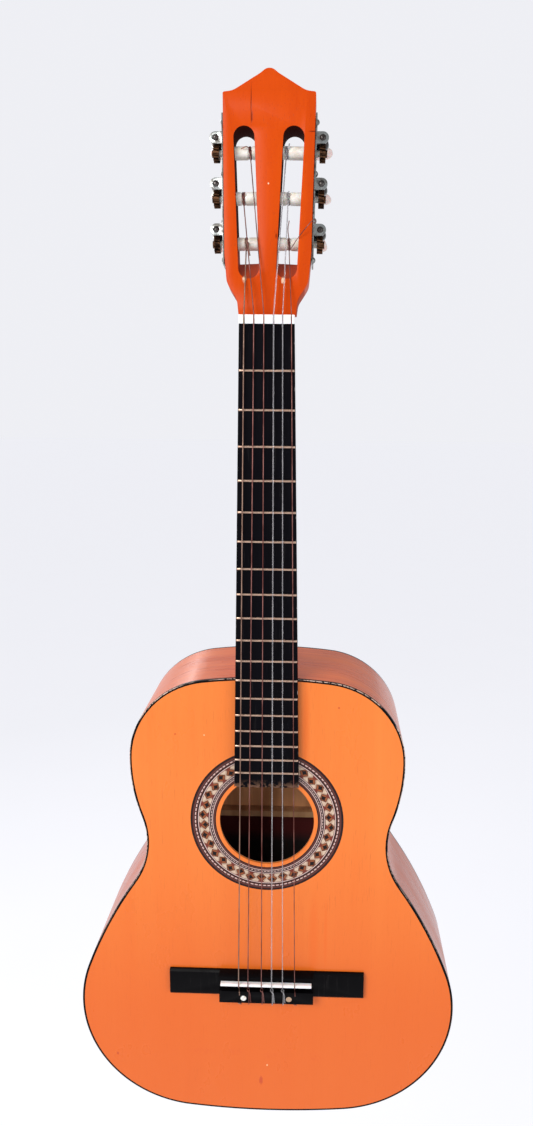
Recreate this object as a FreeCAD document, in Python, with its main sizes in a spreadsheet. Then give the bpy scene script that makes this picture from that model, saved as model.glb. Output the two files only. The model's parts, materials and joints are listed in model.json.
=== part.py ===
"""Three-quarter size classical guitar with a slotted head, as a parametric FreeCAD document.

Frame: +Z runs up the neck towards the head, -Y faces the listener (the strings' side) and +X is
the treble side. The origin is on the centreline, on the plane of the fret crowns, where the scale
begins. Lengths are millimetres, and depths behind the fret crowns grow with +Y.
"""
import FreeCAD, Part

import math
import os
import re

import Sketcher

Vector = FreeCAD.Vector
Rotation = FreeCAD.Rotation
Placement = FreeCAD.Placement

DIMENSIONS = {
    # Scale, fingerboard and nut
    "scale_length": 580,
    "fret_count": 18,
    "fret_crown": 1.0,
    "fret_width": 2.4,
    "tang_width": 0.6,
    "tang_depth": 2.0,
    "fret_end_gap": 0.2,
    "board_thickness": 6.5,
    "board_end": 389,
    "nut_width": 43.6,
    "board_end_width": 56.6,
    "nut_rise": 3.0,
    "nut_length": 6.8,
    "nut_stand": 0.9,
    "nut_slot_floor": 0.5,
    # Body: the half outline is a chain of tangent arcs from the heel to the tail
    "heel_station": 290,
    "top_radius": 464,
    "top_sweep": 6.9,
    "shoulder_radius": 74.7,
    "shoulder_sweep": 82.4,
    "upper_radius": 162.5,
    "upper_sweep": 20,
    "waist_radius": 72.6,
    "waist_sweep": 53.7,
    "flare_radius": 410,
    "flare_sweep": 14,
    "lower_radius": 111.9,
    "lower_sweep": 104.4,
    "body_depth": 93,
    "plate_thickness": 2.5,
    "side_thickness": 2,
    "binding_width": 2,
    "binding_depth": 3,
    "lining_width": 6,
    "lining_depth": 10,
    "soundhole_radius": 42.1,
    "soundhole_station": 424.3,
    "rosette_inner": 45.6,
    "rosette_outer": 68.4,
    "rosette_depth": 1.0,
    "lining_gap": 0.5,
    "neck_block_width": 64,
    "neck_block_length": 34,
    "tail_block_width": 56,
    "tail_block_length": 18,
    # Bars of the soundboard and the back
    "cross_bar_width": 8,
    "cross_bar_height": 14,
    "back_bar_height": 12,
    "middle_bar_width": 6,
    "middle_bar_height": 11,
    "fan_foot": 680,
    "fan_length": 190,
    "fan_bar": 5,
    "fan_pitch": 42,
    "fan_lean": 8.4,
    # Bridge and saddle
    "bridge_station": 575,
    "bridge_length": 180,
    "wing_width": 26.1,
    "wing_height": 3.6,
    "wing_bevel": 2,
    "wing_edge": 2,
    "block_length": 87,
    "block_width": 29.5,
    "block_height": 8.5,
    "block_slope": 2.5,
    "block_edge": 3,
    "ridge_width": 8.8,
    "tie_width": 12,
    "trough_height": 3.2,
    "saddle_station": 583.3,
    "saddle_thickness": 3,
    "saddle_length": 83.6,
    "saddle_top": 5.2,
    "saddle_seat": 3.5,
    "tie_hole": 2.0,
    "tie_hole_height": 5.0,
    "inlay_diameter": 5.4,
    "inlay_depth": 1.5,
    "inlay_x": 21,
    "inlay_station": 599.6,
    # Neck and heel
    "neck_depth_nut": 15.5,
    "neck_depth_heel": 17.5,
    "heel_reach": 68,
    "heel_root": 4,
    "heel_foot_share": 0.42,
    "heel_cap_share": 0.28,
    "heel_cap_thickness": 3,
    # Head, in its own frame: x across, y into the wood from the face, z along the head from the nut
    "head_angle": 8.4,
    "head_face": 5.5,
    "head_start": 7,
    "head_thickness": 20,
    "slot_width": 16.4,
    "slot_top": 147.2,
    "slot_bottom": 48,
    "slot_x": 15.6,
    "slot_x_station": 56,
    "slot_splay": 2.6,
    "ramp_angle": 50,
    "ramp_start": 31,
    "throat_depth": 17,
    "throat_radius": 60,
    "head_side": 34.9,
    "side_splay": 1.0,
    # Machine heads, each in a frame on its side plate
    "post_start": 60,
    "post_pitch": 35,
    "post_depth": 10.2,
    "roller_diameter": 10,
    "roller_length": 31.4,
    "journal_diameter": 5,
    "pin_diameter": 4,
    "string_hole": 1.8,
    "running_clearance": 0.05,
    "plate_sheet": 1.2,
    "plate_gap": 0.2,
    "plate_foot": 43,
    "plate_tip": 158,
    "lug_front": 2.4,
    "lug_rear": 16.5,
    "lug_sheet": 1.5,
    "lug_radius": 4.6,
    "worm_x": 6.2,
    "worm_offset": 9.4,
    "worm_core": 2.45,
    "worm_radius": 4.15,
    "worm_lead": 2.67,
    "worm_turns": 4,
    "worm_collar": 0.65,
    "thread_root": 1.36,
    "thread_crest": 0.72,
    "shaft_diameter": 3,
    "shaft_end": 29,
    "shaft_cap": 5,
    "shaft_cap_height": 1.4,
    "gear_teeth": 14,
    "gear_radius": 6.75,
    "gear_root": 5.0,
    "gear_width": 4.6,
    "gash_root": 0.84,
    "gash_tip": 2.24,
    "gear_screw": 2,
    "gear_screw_length": 4,
    "gear_screw_head": 5.6,
    "gear_screw_rise": 1.3,
    "screw_slot": 0.7,
    "button_start": 19.5,
    "button_width": 16,
    "button_length": 21.5,
    "button_thickness": 7.4,
    "button_round": 1.8,
    "screw_diameter": 2.4,
    "screw_head": 4.8,
    "screw_rise": 1.7,
    "screw_length": 8,
    "pilot_depth": 10,
    # Strings
    "turns_width": 2.1,
    "string_stop": 4.2,
    "knot_run": 0.8,
    "knot_bend": 2,
    "nut_bend": 3,
    "string_gap": 0.02,
}

# Name, diameter, x at the nut, x at the saddle, x at the roller, post counted from the nut, and
# the button's turn in degrees
STRINGS = (
    ("low_e", 1.00, -17.5, -25.0, -17.7, 0, 90),
    ("a", 0.85, -9.8, -16.4, -20.0, 1, 15),
    ("d", 0.80, -2.0, -4.1, -14.4, 2, 8),
    ("g", 1.05, 5.6, 5.3, 13.0, 2, -10),
    ("b", 0.90, 12.6, 15.3, 15.4, 1, 12),
    ("high_e", 0.70, 19.4, 26.4, 16.8, 0, 55),
)
POSTS = (0, 1, 2)
SIDES = (-1, 1)
# Distances of a plate's screws from the head's start
SCREW_STATIONS = (48, 78.3, 114.5, 154)
# Half of the head's outline from the nut to the crown, and the rounding radius of some corners
HEAD_OUTLINE = ((22.4, 2.8), (23.8, 15), (32.0, 28), (33.9, 50), (36.2, 172.6), (28.5, 173.4),
                (7, 186.6), (0, 192.4))
HEAD_ROUNDINGS = ((1, 14), (2, 14), (4, 1.5), (5, 16), (7, 7))
# The heel's sections from the soundboard (0) to the cap (1): their width and reach as shares
HEEL_PROFILE = ((0.0, 1.0, 1.0), (0.16, 0.93, 0.62), (0.4, 0.72, 0.40), (0.7, 0.5, 0.31))
# Half of a fret crown's section: height and half width as shares, from its edge to its top
FRET_PROFILE = ((1, 1), (0.55, 0.86), (0.1, 0.45))
# Half of a button's outline: distance from the shaft as a share of the half width, and along it
# as a share of the length
BUTTON_OUTLINE = ((0.42, 0), (0.42, 0.19), (0.875, 0.42), (1, 0.6), (1, 0.81), (0.62, 0.97), (0.31, 1))
# Distances of the cross bars from the scale's start, the fan bars' places either side of the
# centreline, and the back bars with their widths and heights
FRONT_BARS = (362, 480)
FAN_PLACES = (-2, -1, 0, 1, 2)
BACK_BARS = ((340, "cross_bar_width", "back_bar_height"),
             (460.5, "middle_bar_width", "middle_bar_height"),
             (610, "cross_bar_width", "back_bar_height"))
# Longer than the guitar: for blocks that only split or trim other shapes
BEYOND = 1000

doc = FreeCAD.newDocument("classical_guitar")
dims = doc.addObject("Spreadsheet::Sheet", "dims")
for row, (alias, number) in enumerate(DIMENSIONS.items(), 1):
    dims.set(f"A{row}", alias)
    dims.set(f"B{row}", str(number))
    dims.setAlias(f"B{row}", alias)
doc.recompute()

parts = {}


def bound(text):
    """Give an expression in which every dimension's name points at its cell of the sheet."""
    return re.sub(r"[a-z_]+", lambda word: f"dims.{word[0]}" if word[0] in DIMENSIONS else word[0], str(text))


def value(text):
    """Work out an expression of dimension names."""
    return float(dims.evalExpression(bound(text)))


def keep(name, obj):
    """Register an object as a finished piece of the guitar under its name."""
    obj.Label = name
    parts[name] = obj
    return obj


def moved(obj, x="0", y="0", z="0", rotation=None):
    """Turn an object and bind its position to expressions."""
    if rotation is not None:
        obj.Placement = Placement(Vector(), rotation)
    for axis, text in zip("xyz", (x, y, z)):
        obj.setExpression(f"Placement.Base.{axis}", bound(text))
    return obj


def box(x_range, y_range, z_range):
    """Make a block between pairs of expressions along each axis."""
    block = doc.addObject("Part::Box", "block")
    for prop, (low, high) in zip(("Length", "Width", "Height"), (x_range, y_range, z_range)):
        block.setExpression(prop, bound(f"({high}) - ({low})"))
    return moved(block, x_range[0], y_range[0], z_range[0])


AXIS_TURN = {
    "x": Rotation(Vector(0, 1, 0), 90),
    "y": Rotation(Vector(1, 0, 0), -90),
    "z": Rotation(),
}


def cylinder(radius, length, start, axis):
    """Make a round bar from a start point along an axis."""
    bar = doc.addObject("Part::Cylinder", "bar")
    bar.setExpression("Radius", bound(radius))
    bar.setExpression("Height", bound(length))
    return moved(bar, *start, rotation=AXIS_TURN[axis])


def dome(radius, height, start, axis_rotation):
    """Make a spherical cap of a base radius and height, standing on its start point."""
    cap = doc.addObject("Part::Feature", "dome")
    ball = (radius ** 2 + height ** 2) / (2 * height)
    sphere = Part.makeSphere(ball, Vector(0, 0, height - ball))
    slab = Part.makeBox(4 * ball, 4 * ball, height, Vector(-2 * ball, -2 * ball, 0))
    cap.Shape = sphere.common(slab)
    cap.Placement = Placement(Vector(*start), axis_rotation)
    return cap


def cut(base, *tools):
    """Take every tool away from a base."""
    for tool in tools:
        result = doc.addObject("Part::Cut", "cut")
        result.Base = base
        result.Tool = tool
        base = result
    return base


def fuse(*shapes):
    """Join shapes into one solid."""
    result = doc.addObject("Part::MultiFuse", "fuse")
    result.Shapes = list(shapes)
    result.Refine = True
    return result


def common(*shapes):
    """Keep what all the shapes share."""
    result = doc.addObject("Part::MultiCommon", "common")
    result.Shapes = list(shapes)
    return result


def compound(*shapes):
    """Group separate solids in one node."""
    result = doc.addObject("Part::Compound", "group")
    result.Links = list(shapes)
    return result


SKETCH_TURN = {
    "xz": Rotation(Vector(1, 0, 0), 90),
    "yz": Rotation(Vector(1, 1, 1), 120),
    "xy": Rotation(),
}
EXTRUDE_DIR = {"xz": Vector(0, 1, 0), "yz": Vector(1, 0, 0), "xy": Vector(0, 0, 1)}
OFF_AXIS = {"xz": "y", "yz": "x", "xy": "z"}


def extrusion(sketch, plane, start, length):
    """Extrude a sketch of a plane from a start level."""
    sketch.Placement = Placement(Vector(), SKETCH_TURN[plane])
    sketch.setExpression(f"Placement.Base.{OFF_AXIS[plane]}", bound(start))
    solid = doc.addObject("Part::Extrusion", "prism")
    solid.Base = sketch
    solid.DirMode = "Custom"
    solid.Dir = EXTRUDE_DIR[plane]
    solid.setExpression("LengthFwd", bound(length))
    solid.Solid = True
    return solid


def polygon(points):
    """Draw a closed polygon whose corners are bound to pairs of expressions."""
    sketch = doc.addObject("Sketcher::SketchObject", "outline")
    corners = [Vector(value(across), value(along), 0) for across, along in points]
    count = len(corners)
    for index in range(count):
        sketch.addGeometry(Part.LineSegment(corners[index], corners[(index + 1) % count]))
    for index in range(count):
        sketch.addConstraint(Sketcher.Constraint("Coincident", index, 2, (index + 1) % count, 1))
    for index, (across, along) in enumerate(points):
        corner = corners[index]
        for kind, text, number in (("DistanceX", across, corner.x), ("DistanceY", along, corner.y)):
            constraint = sketch.addConstraint(Sketcher.Constraint(kind, -1, 1, index, 1, number))
            sketch.setExpression(f"Constraints[{constraint}]", bound(text))
    return sketch


def prism(plane, points, start, length):
    """Extrude a bound polygon."""
    return extrusion(polygon(points), plane, start, length)


# Levels behind the fret crowns
BOARD_BACK = "(fret_crown + board_thickness)"
TOP_INSIDE = f"({BOARD_BACK} + plate_thickness)"
BACK_OUTSIDE = f"({BOARD_BACK} + body_depth)"
BACK_INSIDE = f"({BACK_OUTSIDE} - plate_thickness)"
RIDGE_TOP = f"({BOARD_BACK} - block_height)"

ARC_CHAIN = ("top", "shoulder", "upper", "waist", "flare", "lower")


def body_arcs(inset):
    """Give half of the body's outline, drawn in by an inset, as tangent arcs from heel to tail."""
    point = Vector(0, -value("heel_station") - inset, 0)
    heading = 0.0
    arcs = []
    for name in ARC_CHAIN:
        bend = -1 if name == "waist" else 1
        radius = value(f"{name}_radius") - bend * inset
        sweep = math.radians(value(f"{name}_sweep"))
        point, heading = add_arc(arcs, point, heading, radius, bend, sweep)
    tail_radius = point.x / math.sin(heading)
    add_arc(arcs, point, heading, tail_radius, 1, math.pi - heading)
    return arcs


def add_arc(arcs, point, heading, radius, bend, sweep):
    """Append the arc that leaves a point on a heading, and give its end and the heading there."""
    centre = point + Vector(-math.sin(heading), -math.cos(heading), 0) * (bend * radius)
    stops = [point]
    for share in (0.5, 1.0):
        turned = heading + bend * sweep * share
        stops.append(centre + Vector(math.sin(turned), math.cos(turned), 0) * (bend * radius))
    arcs.append(Part.Arc(*stops))
    return stops[-1], heading + bend * sweep


def body_prism(inset, start, length):
    """Extrude the whole body outline, drawn in by an inset."""
    sketch = doc.addObject("Sketcher::SketchObject", "body_outline")
    for arc in body_arcs(value(inset)):
        treble = arc.toShape()
        bass = treble.mirror(Vector(), Vector(1, 0, 0))
        for edge in (treble, bass):
            curve = edge.Curve
            first, last = edge.ParameterRange
            sketch.addGeometry(Part.ArcOfCircle(curve, first, last))
    return extrusion(sketch, "xz", start, length)


def body_ring(outer_inset, inner_inset, start, length):
    """Make a strip that follows the body's outline between two insets."""
    return cut(body_prism(outer_inset, start, length), body_prism(inner_inset, start, length))


def make_body():
    """Make the sound box: plates, ribs, bindings, linings, blocks and braces."""
    hole_axis = ("0", BOARD_BACK, "-soundhole_station")

    def rosette_ring():
        outer = cylinder("rosette_outer", "rosette_depth", hole_axis, "y")
        return cut(outer, cylinder("rosette_inner", "rosette_depth", hole_axis, "y"))

    top_plate = body_prism("binding_width", BOARD_BACK, "plate_thickness")
    hole = cylinder("soundhole_radius", "plate_thickness", hole_axis, "y")
    keep("soundboard", cut(top_plate, hole, rosette_ring()))
    keep("rosette", rosette_ring())
    keep("back_panel", body_prism("binding_width", BACK_INSIDE, "plate_thickness"))
    keep("front_binding", body_ring("0", "binding_width", BOARD_BACK, "binding_depth"))
    keep("back_binding", body_ring("0", "binding_width", f"{BACK_OUTSIDE} - binding_depth", "binding_depth"))

    rib_start = f"{BOARD_BACK} + binding_depth"
    rib_depth = "body_depth - 2 * binding_depth"
    for name, x_range in (("bass_side", (-BEYOND, 0)), ("treble_side", (0, BEYOND))):
        half = box(x_range, (rib_start, f"{rib_start} + {rib_depth}"), (-BEYOND, 0))
        keep(name, common(body_ring("0", "side_thickness", rib_start, rib_depth), half))

    def block_box(width, z_range):
        return box((f"-{width} / 2", f"{width} / 2"), (TOP_INSIDE, BACK_INSIDE), z_range)

    hollow = "body_depth - 2 * plate_thickness"
    neck_end = ("-heel_station - neck_block_length", "-heel_station")
    tail_end = (-BEYOND, f"side_thickness + tail_block_length - {tail_station():.3f}")
    for name, width, z_range in (
        ("neck_block", "neck_block_width", neck_end),
        ("tail_block", "tail_block_width", tail_end),
    ):
        keep(name, common(body_prism("side_thickness", TOP_INSIDE, hollow), block_box(width, z_range)))

    strips = []
    for start in (TOP_INSIDE, f"{BACK_INSIDE} - lining_depth"):
        strip = body_ring("side_thickness", "side_thickness + lining_width", start, "lining_depth")
        strip = cut(strip, block_box("neck_block_width", neck_end), block_box("tail_block_width", tail_end))
        strips.append(strip)
    keep("linings", compound(*strips))


def tail_station():
    """Give the distance from the scale's start to the end of the body."""
    return -body_arcs(0)[-1].toShape().Vertexes[-1].Point.y


def bar_across(station, width, y_range):
    """Make a bar that runs across the whole body at a distance from the scale's start."""
    z_range = (f"-({station}) - {width} / 2", f"-({station}) + {width} / 2")
    return box((-BEYOND, BEYOND), y_range, z_range)


def make_braces():
    """Make the bars glued inside the soundboard and the back."""
    margin = "side_thickness + lining_width + lining_gap"
    front_range = (TOP_INSIDE, f"{TOP_INSIDE} + cross_bar_height")
    bars = [bar_across(station, "cross_bar_width", front_range) for station in FRONT_BARS]
    for place in FAN_PLACES:
        bar = box(("0", "fan_bar"), ("0", "fan_bar"), ("0", "fan_length"))
        lean = Rotation(Vector(0, 1, 0), -value("fan_lean") * place)
        bars.append(moved(bar, f"{place} * fan_pitch - fan_bar / 2", TOP_INSIDE, "-fan_foot", rotation=lean))
    hollow = "body_depth - 2 * plate_thickness"
    inside = [common(bar, body_prism(margin, TOP_INSIDE, hollow)) for bar in bars]
    keep("soundboard_braces", compound(*inside))

    back_bars = []
    for station, width, height in BACK_BARS:
        bar = bar_across(station, width, (f"{BACK_INSIDE} - {height}", BACK_INSIDE))
        back_bars.append(common(bar, body_prism(margin, TOP_INSIDE, hollow)))
    keep("back_braces", compound(*back_bars))


def make_bridge():
    """Make the bridge with its tie block, the saddle and the two round inlays."""

    def section(points):
        return [(f"{BOARD_BACK} - ({height})", f"-bridge_station - ({along})") for along, height in points]

    wing = section(((0, 0), (0, "wing_edge"), ("wing_bevel", "wing_height"),
                    ("wing_width - wing_bevel", "wing_height"),
                    ("wing_width", "wing_edge"), ("wing_width", 0)))
    block = section(((0, 0), (0, "block_edge"), ("block_slope", "block_height"),
                     ("block_slope + ridge_width", "block_height"),
                     ("block_slope + ridge_width", "trough_height"),
                     ("block_width - tie_width", "trough_height"),
                     ("block_width - tie_width", "block_height"),
                     ("block_width", "block_height"), ("block_width", 0)))
    body = fuse(prism("yz", wing, "-bridge_length / 2", "bridge_length"),
                prism("yz", block, "-block_length / 2", "block_length"))

    def saddle_box(top):
        x_range = ("-saddle_length / 2", "saddle_length / 2")
        z_range = ("-saddle_station - saddle_thickness / 2", "-saddle_station + saddle_thickness / 2")
        return box(x_range, (top, f"{BOARD_BACK} - saddle_seat"), z_range)

    crown_axis = ("-saddle_length / 2", "saddle_thickness / 2 - saddle_top", "-saddle_station")
    crown = cylinder("saddle_thickness / 2", "saddle_length", crown_axis, "x")
    tools = [saddle_box(RIDGE_TOP)]
    for string in STRINGS:
        start = (string[3], f"{BOARD_BACK} - tie_hole_height", "-bridge_station - block_width")
        tools.append(cylinder("tie_hole / 2", "tie_width", start, "z"))

    def inlay(side):
        start = (f"{side} * inlay_x", RIDGE_TOP, "-inlay_station")
        return cylinder("inlay_diameter / 2", "inlay_depth", start, "y")

    tools += [inlay(-1), inlay(1)]
    keep("bridge", cut(body, *tools))
    keep("saddle", fuse(saddle_box(crown_axis[1]), crown))
    keep("bridge_inlays", compound(inlay(-1), inlay(1)))


def half_width(station):
    """Give half of the fingerboard's width, as an expression, at a distance from the scale's start."""
    return f"(nut_width + (board_end_width - nut_width) * ({station}) / board_end) / 2"


def fret_station(number):
    """Give a fret's distance from the scale's start, as an expression."""
    return f"scale_length * (1 - 2 ^ (-{number} / 12))"


def fret_section(station):
    """Give the outline of a fret's crown and tang in the yz plane."""
    crown = []
    for height, share in FRET_PROFILE + ((0, 0),) + FRET_PROFILE[::-1]:
        side = 1 if len(crown) < len(FRET_PROFILE) else -1
        crown.append((f"fret_crown * {height}", f"-{station} + {side * share} * fret_width / 2"))
    tang = []
    for depth, half in (("0", "-tang_width / 2"), ("tang_depth", "-tang_width / 2"),
                        ("tang_depth", "tang_width / 2"), ("0", "tang_width / 2")):
        tang.append((f"fret_crown + {depth}", f"-{station} + ({half})"))
    return crown + tang


def make_fingerboard():
    """Make the tapered fingerboard, its frets and the nut."""
    near, far = half_width("-nut_rise"), half_width("board_end")
    outline = ((f"-{near}", "nut_rise"), (near, "nut_rise"), (far, "-board_end"), (f"-{far}", "-board_end"))
    board = prism("xz", outline, "fret_crown", "board_thickness")
    slots = []
    frets = []
    for number in range(1, int(value("fret_count")) + 1):
        station = fret_station(number)
        z_range = (f"-{station} - tang_width / 2", f"-{station} + tang_width / 2")
        slots.append(box((-BEYOND, BEYOND), ("fret_crown", "fret_crown + tang_depth"), z_range))
        side = f"({half_width(station)} - fret_end_gap)"
        frets.append(prism("yz", fret_section(station), f"-{side}", f"2 * {side}"))
    keep("fingerboard", cut(board, compound(*slots)))
    keep("frets", compound(*frets))

    nut_range = ("nut_rise", "nut_rise + nut_length")
    nut = box(("-nut_width / 2", "nut_width / 2"), ("-nut_stand", BOARD_BACK), nut_range)
    for _, diameter, x, *_ in STRINGS:
        slot = box((f"{x} - {diameter} / 2 - running_clearance", f"{x} + {diameter} / 2 + running_clearance"),
                   ("-nut_stand", "-nut_slot_floor"), nut_range)
        nut = cut(nut, slot)
    keep("nut", nut)


def half_ellipse(half_across, depth, placement):
    """Draw a half ellipse on its straight side, bulging along the sketch's second axis."""
    sketch = doc.addObject("Sketcher::SketchObject", "section")
    major, minor = Vector(half_across, 0, 0), Vector(0, depth, 0)
    if depth > half_across:
        ellipse = Part.Ellipse(minor, -major, Vector())
        first, last = -math.pi / 2, math.pi / 2
    else:
        ellipse = Part.Ellipse(major, minor, Vector())
        first, last = 0, math.pi
    sketch.addGeometry(Part.ArcOfEllipse(ellipse, first, last))
    sketch.addGeometry(Part.LineSegment(-major, major))
    sketch.Placement = placement
    return sketch


def loft(sections):
    """Loft a solid through closed sections."""
    result = doc.addObject("Part::Loft", "loft")
    result.Sections = sections
    result.Solid = True
    return result


def heel_section(level, width_share, reach_share):
    """Draw a section of the heel at a depth, standing on a line just inside the body."""
    upright = Rotation(Vector(1, 0, 0), 90)
    foot = Vector(0, level, -value("heel_station + heel_root"))
    half_across = value(half_width("heel_station")) * width_share
    reach = value("heel_root") + value("heel_reach") * reach_share
    return half_ellipse(half_across, reach, Placement(foot, upright))


def make_neck():
    """Make the neck with its carved heel, and the heel cap."""
    shaft_sections = []
    for station, depth in (("-nut_rise - nut_length", "neck_depth_nut"),
                           ("heel_station + heel_root", "neck_depth_heel")):
        level = Placement(Vector(0, value(BOARD_BACK), -value(station)), Rotation())
        shaft_sections.append(half_ellipse(value(half_width(station)), value(depth), level))

    top_level = value(BOARD_BACK)
    cap_level = value(f"{BACK_OUTSIDE} - heel_cap_thickness")
    foot_shares = (value("heel_foot_share"), value("heel_cap_share"))
    heel_sections = []
    for share, width_share, reach_share in HEEL_PROFILE + ((1.0, *foot_shares),):
        level = top_level + share * (cap_level - top_level)
        heel_sections.append(heel_section(level, width_share, reach_share))
    sound_box = body_prism("0", BOARD_BACK, "body_depth")
    keep("neck", cut(fuse(loft(shaft_sections), loft(heel_sections)), sound_box))

    cap = doc.addObject("Part::Extrusion", "cap")
    cap.Base = heel_section(cap_level, *foot_shares)
    cap.DirMode = "Custom"
    cap.Dir = Vector(0, 1, 0)
    cap.setExpression("LengthFwd", bound("heel_cap_thickness"))
    cap.Solid = True
    keep("heel_cap", cut(cap, sound_box))


HEAD_TURN = Rotation(Vector(1, 0, 0), -value("head_angle"))
HEAD_FRAME = Placement(Vector(0, value("head_face"), value("head_start")), HEAD_TURN)


def side_frame(side):
    """Give the frame of a side plate: x points out of the plate, y into the depth, z along the head."""
    splay = Rotation(Vector(0, 1, 0), side * value("side_splay"))
    base = Placement(Vector(side * value("head_side"), 0, value("post_start + post_pitch")), splay)
    return HEAD_FRAME * base


def on_side(obj, side, post=None):
    """Place a machine-head piece in the frame of its side, and at its post."""
    shift = Vector() if post is None else Vector(0, 0, (post - 1) * value("post_pitch"))
    obj.Placement = side_frame(side) * Placement(shift, Rotation())
    return obj


def head_outline():
    """Draw the head's outline with straight flanks and a pointed crown."""
    right = [(x, z) for x, z in HEAD_OUTLINE]
    left = [(-x, z) for x, z in reversed(HEAD_OUTLINE[:-1])]
    return prism("xz", right + left, "0", "head_thickness")


def rounded_head(blank):
    """Round the head's upright corners: each is named by its outline point and radius."""
    result = doc.addObject("Part::Fillet", "rounded")
    result.Base = blank
    doc.recompute()
    picks = []
    for index, radius in HEAD_ROUNDINGS:
        x, z = HEAD_OUTLINE[index]
        for number, edge in enumerate(blank.Shape.Edges, 1):
            middle = edge.CenterOfMass
            off = Vector(abs(middle.x) - x, middle.y - value("head_thickness / 2"), middle.z - z)
            if off.Length < 0.1:
                picks.append((number, radius, radius))
    result.Edges = picks
    return result


def slot_tool(side):
    """Make one string slot's tool: a long opening with round ends and a ramp towards the nut."""
    start, top = value("slot_bottom - slot_x_station"), value("slot_top - slot_x_station")
    half = value("slot_width") / 2
    proud = 1
    depth = value("head_thickness") + 2 * proud
    opening = box((-half, half), (-proud, depth - proud), (start + half, top - half))
    ends = [cylinder(half, depth, (0, -proud, z), "y") for z in (start + half, top - half)]
    slope = math.tan(math.radians(value("ramp_angle")))
    foot = value("ramp_start - slot_x_station")
    ramp_depth = (start - foot) * slope
    ramp_profile = ((-proud, foot - proud / slope), (-proud, start + half),
                    (ramp_depth, start + half), (ramp_depth, start))
    wedge = prism("yz", ramp_profile, -half, 2 * half)
    round_foot = cylinder(half, depth, (0, -proud, foot + half), "y")
    straight_foot = box((-half, half), (-proud, depth - proud), (foot + half, start + half + proud))
    ramp = common(wedge, fuse(round_foot, straight_foot))
    tool = fuse(opening, *ends, ramp)
    splay = Rotation(Vector(0, 1, 0), side * value("slot_splay"))
    tool.Placement = Placement(Vector(side * value("slot_x"), 0, value("slot_x_station")), splay)
    return tool


def inward_hole(side, along, diameter, depth):
    """Make a drill that enters the head's flank at a distance from its middle post."""
    proud = 2
    drill = doc.addObject("Part::Cylinder", "drill")
    drill.Radius = value(diameter) / 2
    drill.Height = value(depth) + proud
    inward = Rotation(Vector(0, 1, 0), -90 * side)
    on_flank = Placement(Vector(side * proud, value("post_depth"), along), inward)
    drill.Placement = HEAD_FRAME.inverse() * side_frame(side) * on_flank
    return drill


def make_headstock():
    """Make the slotted head, in its own frame, and set it at its angle."""
    head = rounded_head(head_outline())
    throat = cylinder("throat_radius", 2 * BEYOND, (-BEYOND, "throat_depth + throat_radius", -1), "x")
    tools = [slot_tool(-1), slot_tool(1), throat]
    middle = value("post_start + post_pitch")
    for side in SIDES:
        for post in POSTS:
            along = (post - 1) * value("post_pitch")
            bore = "roller_diameter + 2 * running_clearance"
            tools.append(inward_hole(side, along, bore, "roller_length + 1"))
        for station in SCREW_STATIONS:
            tools.append(inward_hole(side, station - middle, "screw_diameter", "screw_length"))
    below_joint = doc.addObject("Part::Box", "below_joint")
    below_joint.Length = below_joint.Width = below_joint.Height = BEYOND
    corner = Vector(-BEYOND / 2, -BEYOND / 2, value("nut_rise + nut_length") - BEYOND)
    below_joint.Placement = HEAD_FRAME.inverse() * Placement(corner, Rotation())
    tools.append(below_joint)
    head = cut(head, *tools)
    head.Placement = HEAD_FRAME
    keep("headstock", head)


def plate_flat(side):
    """Make a side plate with its lugs, bores and screw holes, in the side's frame."""
    middle = value("post_start + post_pitch")
    foot, tip = value("plate_foot") - middle, value("plate_tip") - middle
    front, rear = value("lug_front"), value("lug_rear") + value("lug_sheet")
    near, far = value("plate_gap"), value("plate_gap + plate_sheet")
    low, high = (near, far) if side > 0 else (-far, -near)
    solids = [box((low, high), (front, rear), (foot, tip))]
    tools = []
    axis_x = side * value("worm_x")
    lug_range = sorted((side * far, axis_x))
    for post in range(3):
        post_z = (post - 1) * value("post_pitch")
        worm_z = post_z + value("worm_offset")
        for start in (value("lug_front"), value("lug_rear")):
            radius = value("lug_radius")
            web = box(lug_range, (start, f"{start} + lug_sheet"), (worm_z - radius, worm_z + radius))
            nose = cylinder("lug_radius", "lug_sheet", (axis_x, start, worm_z), "y")
            solids += [web, nose]
        shaft_bore = "shaft_diameter / 2 + running_clearance"
        tools.append(cylinder(shaft_bore, "lug_rear + pilot_depth", (axis_x, "0", worm_z), "y"))
        journal_bore = "journal_diameter / 2 + running_clearance"
        tools.append(cylinder(journal_bore, "pilot_depth", ("-pilot_depth / 2", "post_depth", post_z), "x"))
    for station in SCREW_STATIONS:
        hole_start = ("-pilot_depth / 2", "post_depth", station - middle)
        tools.append(cylinder("screw_diameter / 2", "pilot_depth", hole_start, "x"))
    return on_side(cut(fuse(*solids), *tools), side)


def plate_screw(side, station):
    """Make one round-headed screw of a side plate."""
    middle = value("post_start + post_pitch")
    outside = side * value("plate_gap + plate_sheet")
    outward = Rotation(Vector(0, 1, 0), 90 * side)
    along = station - middle
    head_start = (outside, value("post_depth"), along)
    head = dome(value("screw_head") / 2, value("screw_rise"), head_start, outward)
    low = min(outside, outside - side * value("screw_length"))
    shank = cylinder("screw_diameter / 2", "screw_length", (low, "post_depth", along), "x")
    return on_side(fuse(head, shank), side)


def outward_bar(side, radius, near, far):
    """Make a round bar on a post's axis between two distances outside the head's flank."""
    low = min(side * near, side * far)
    return cylinder(radius, far - near, (low, "post_depth", "0"), "x")


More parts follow.
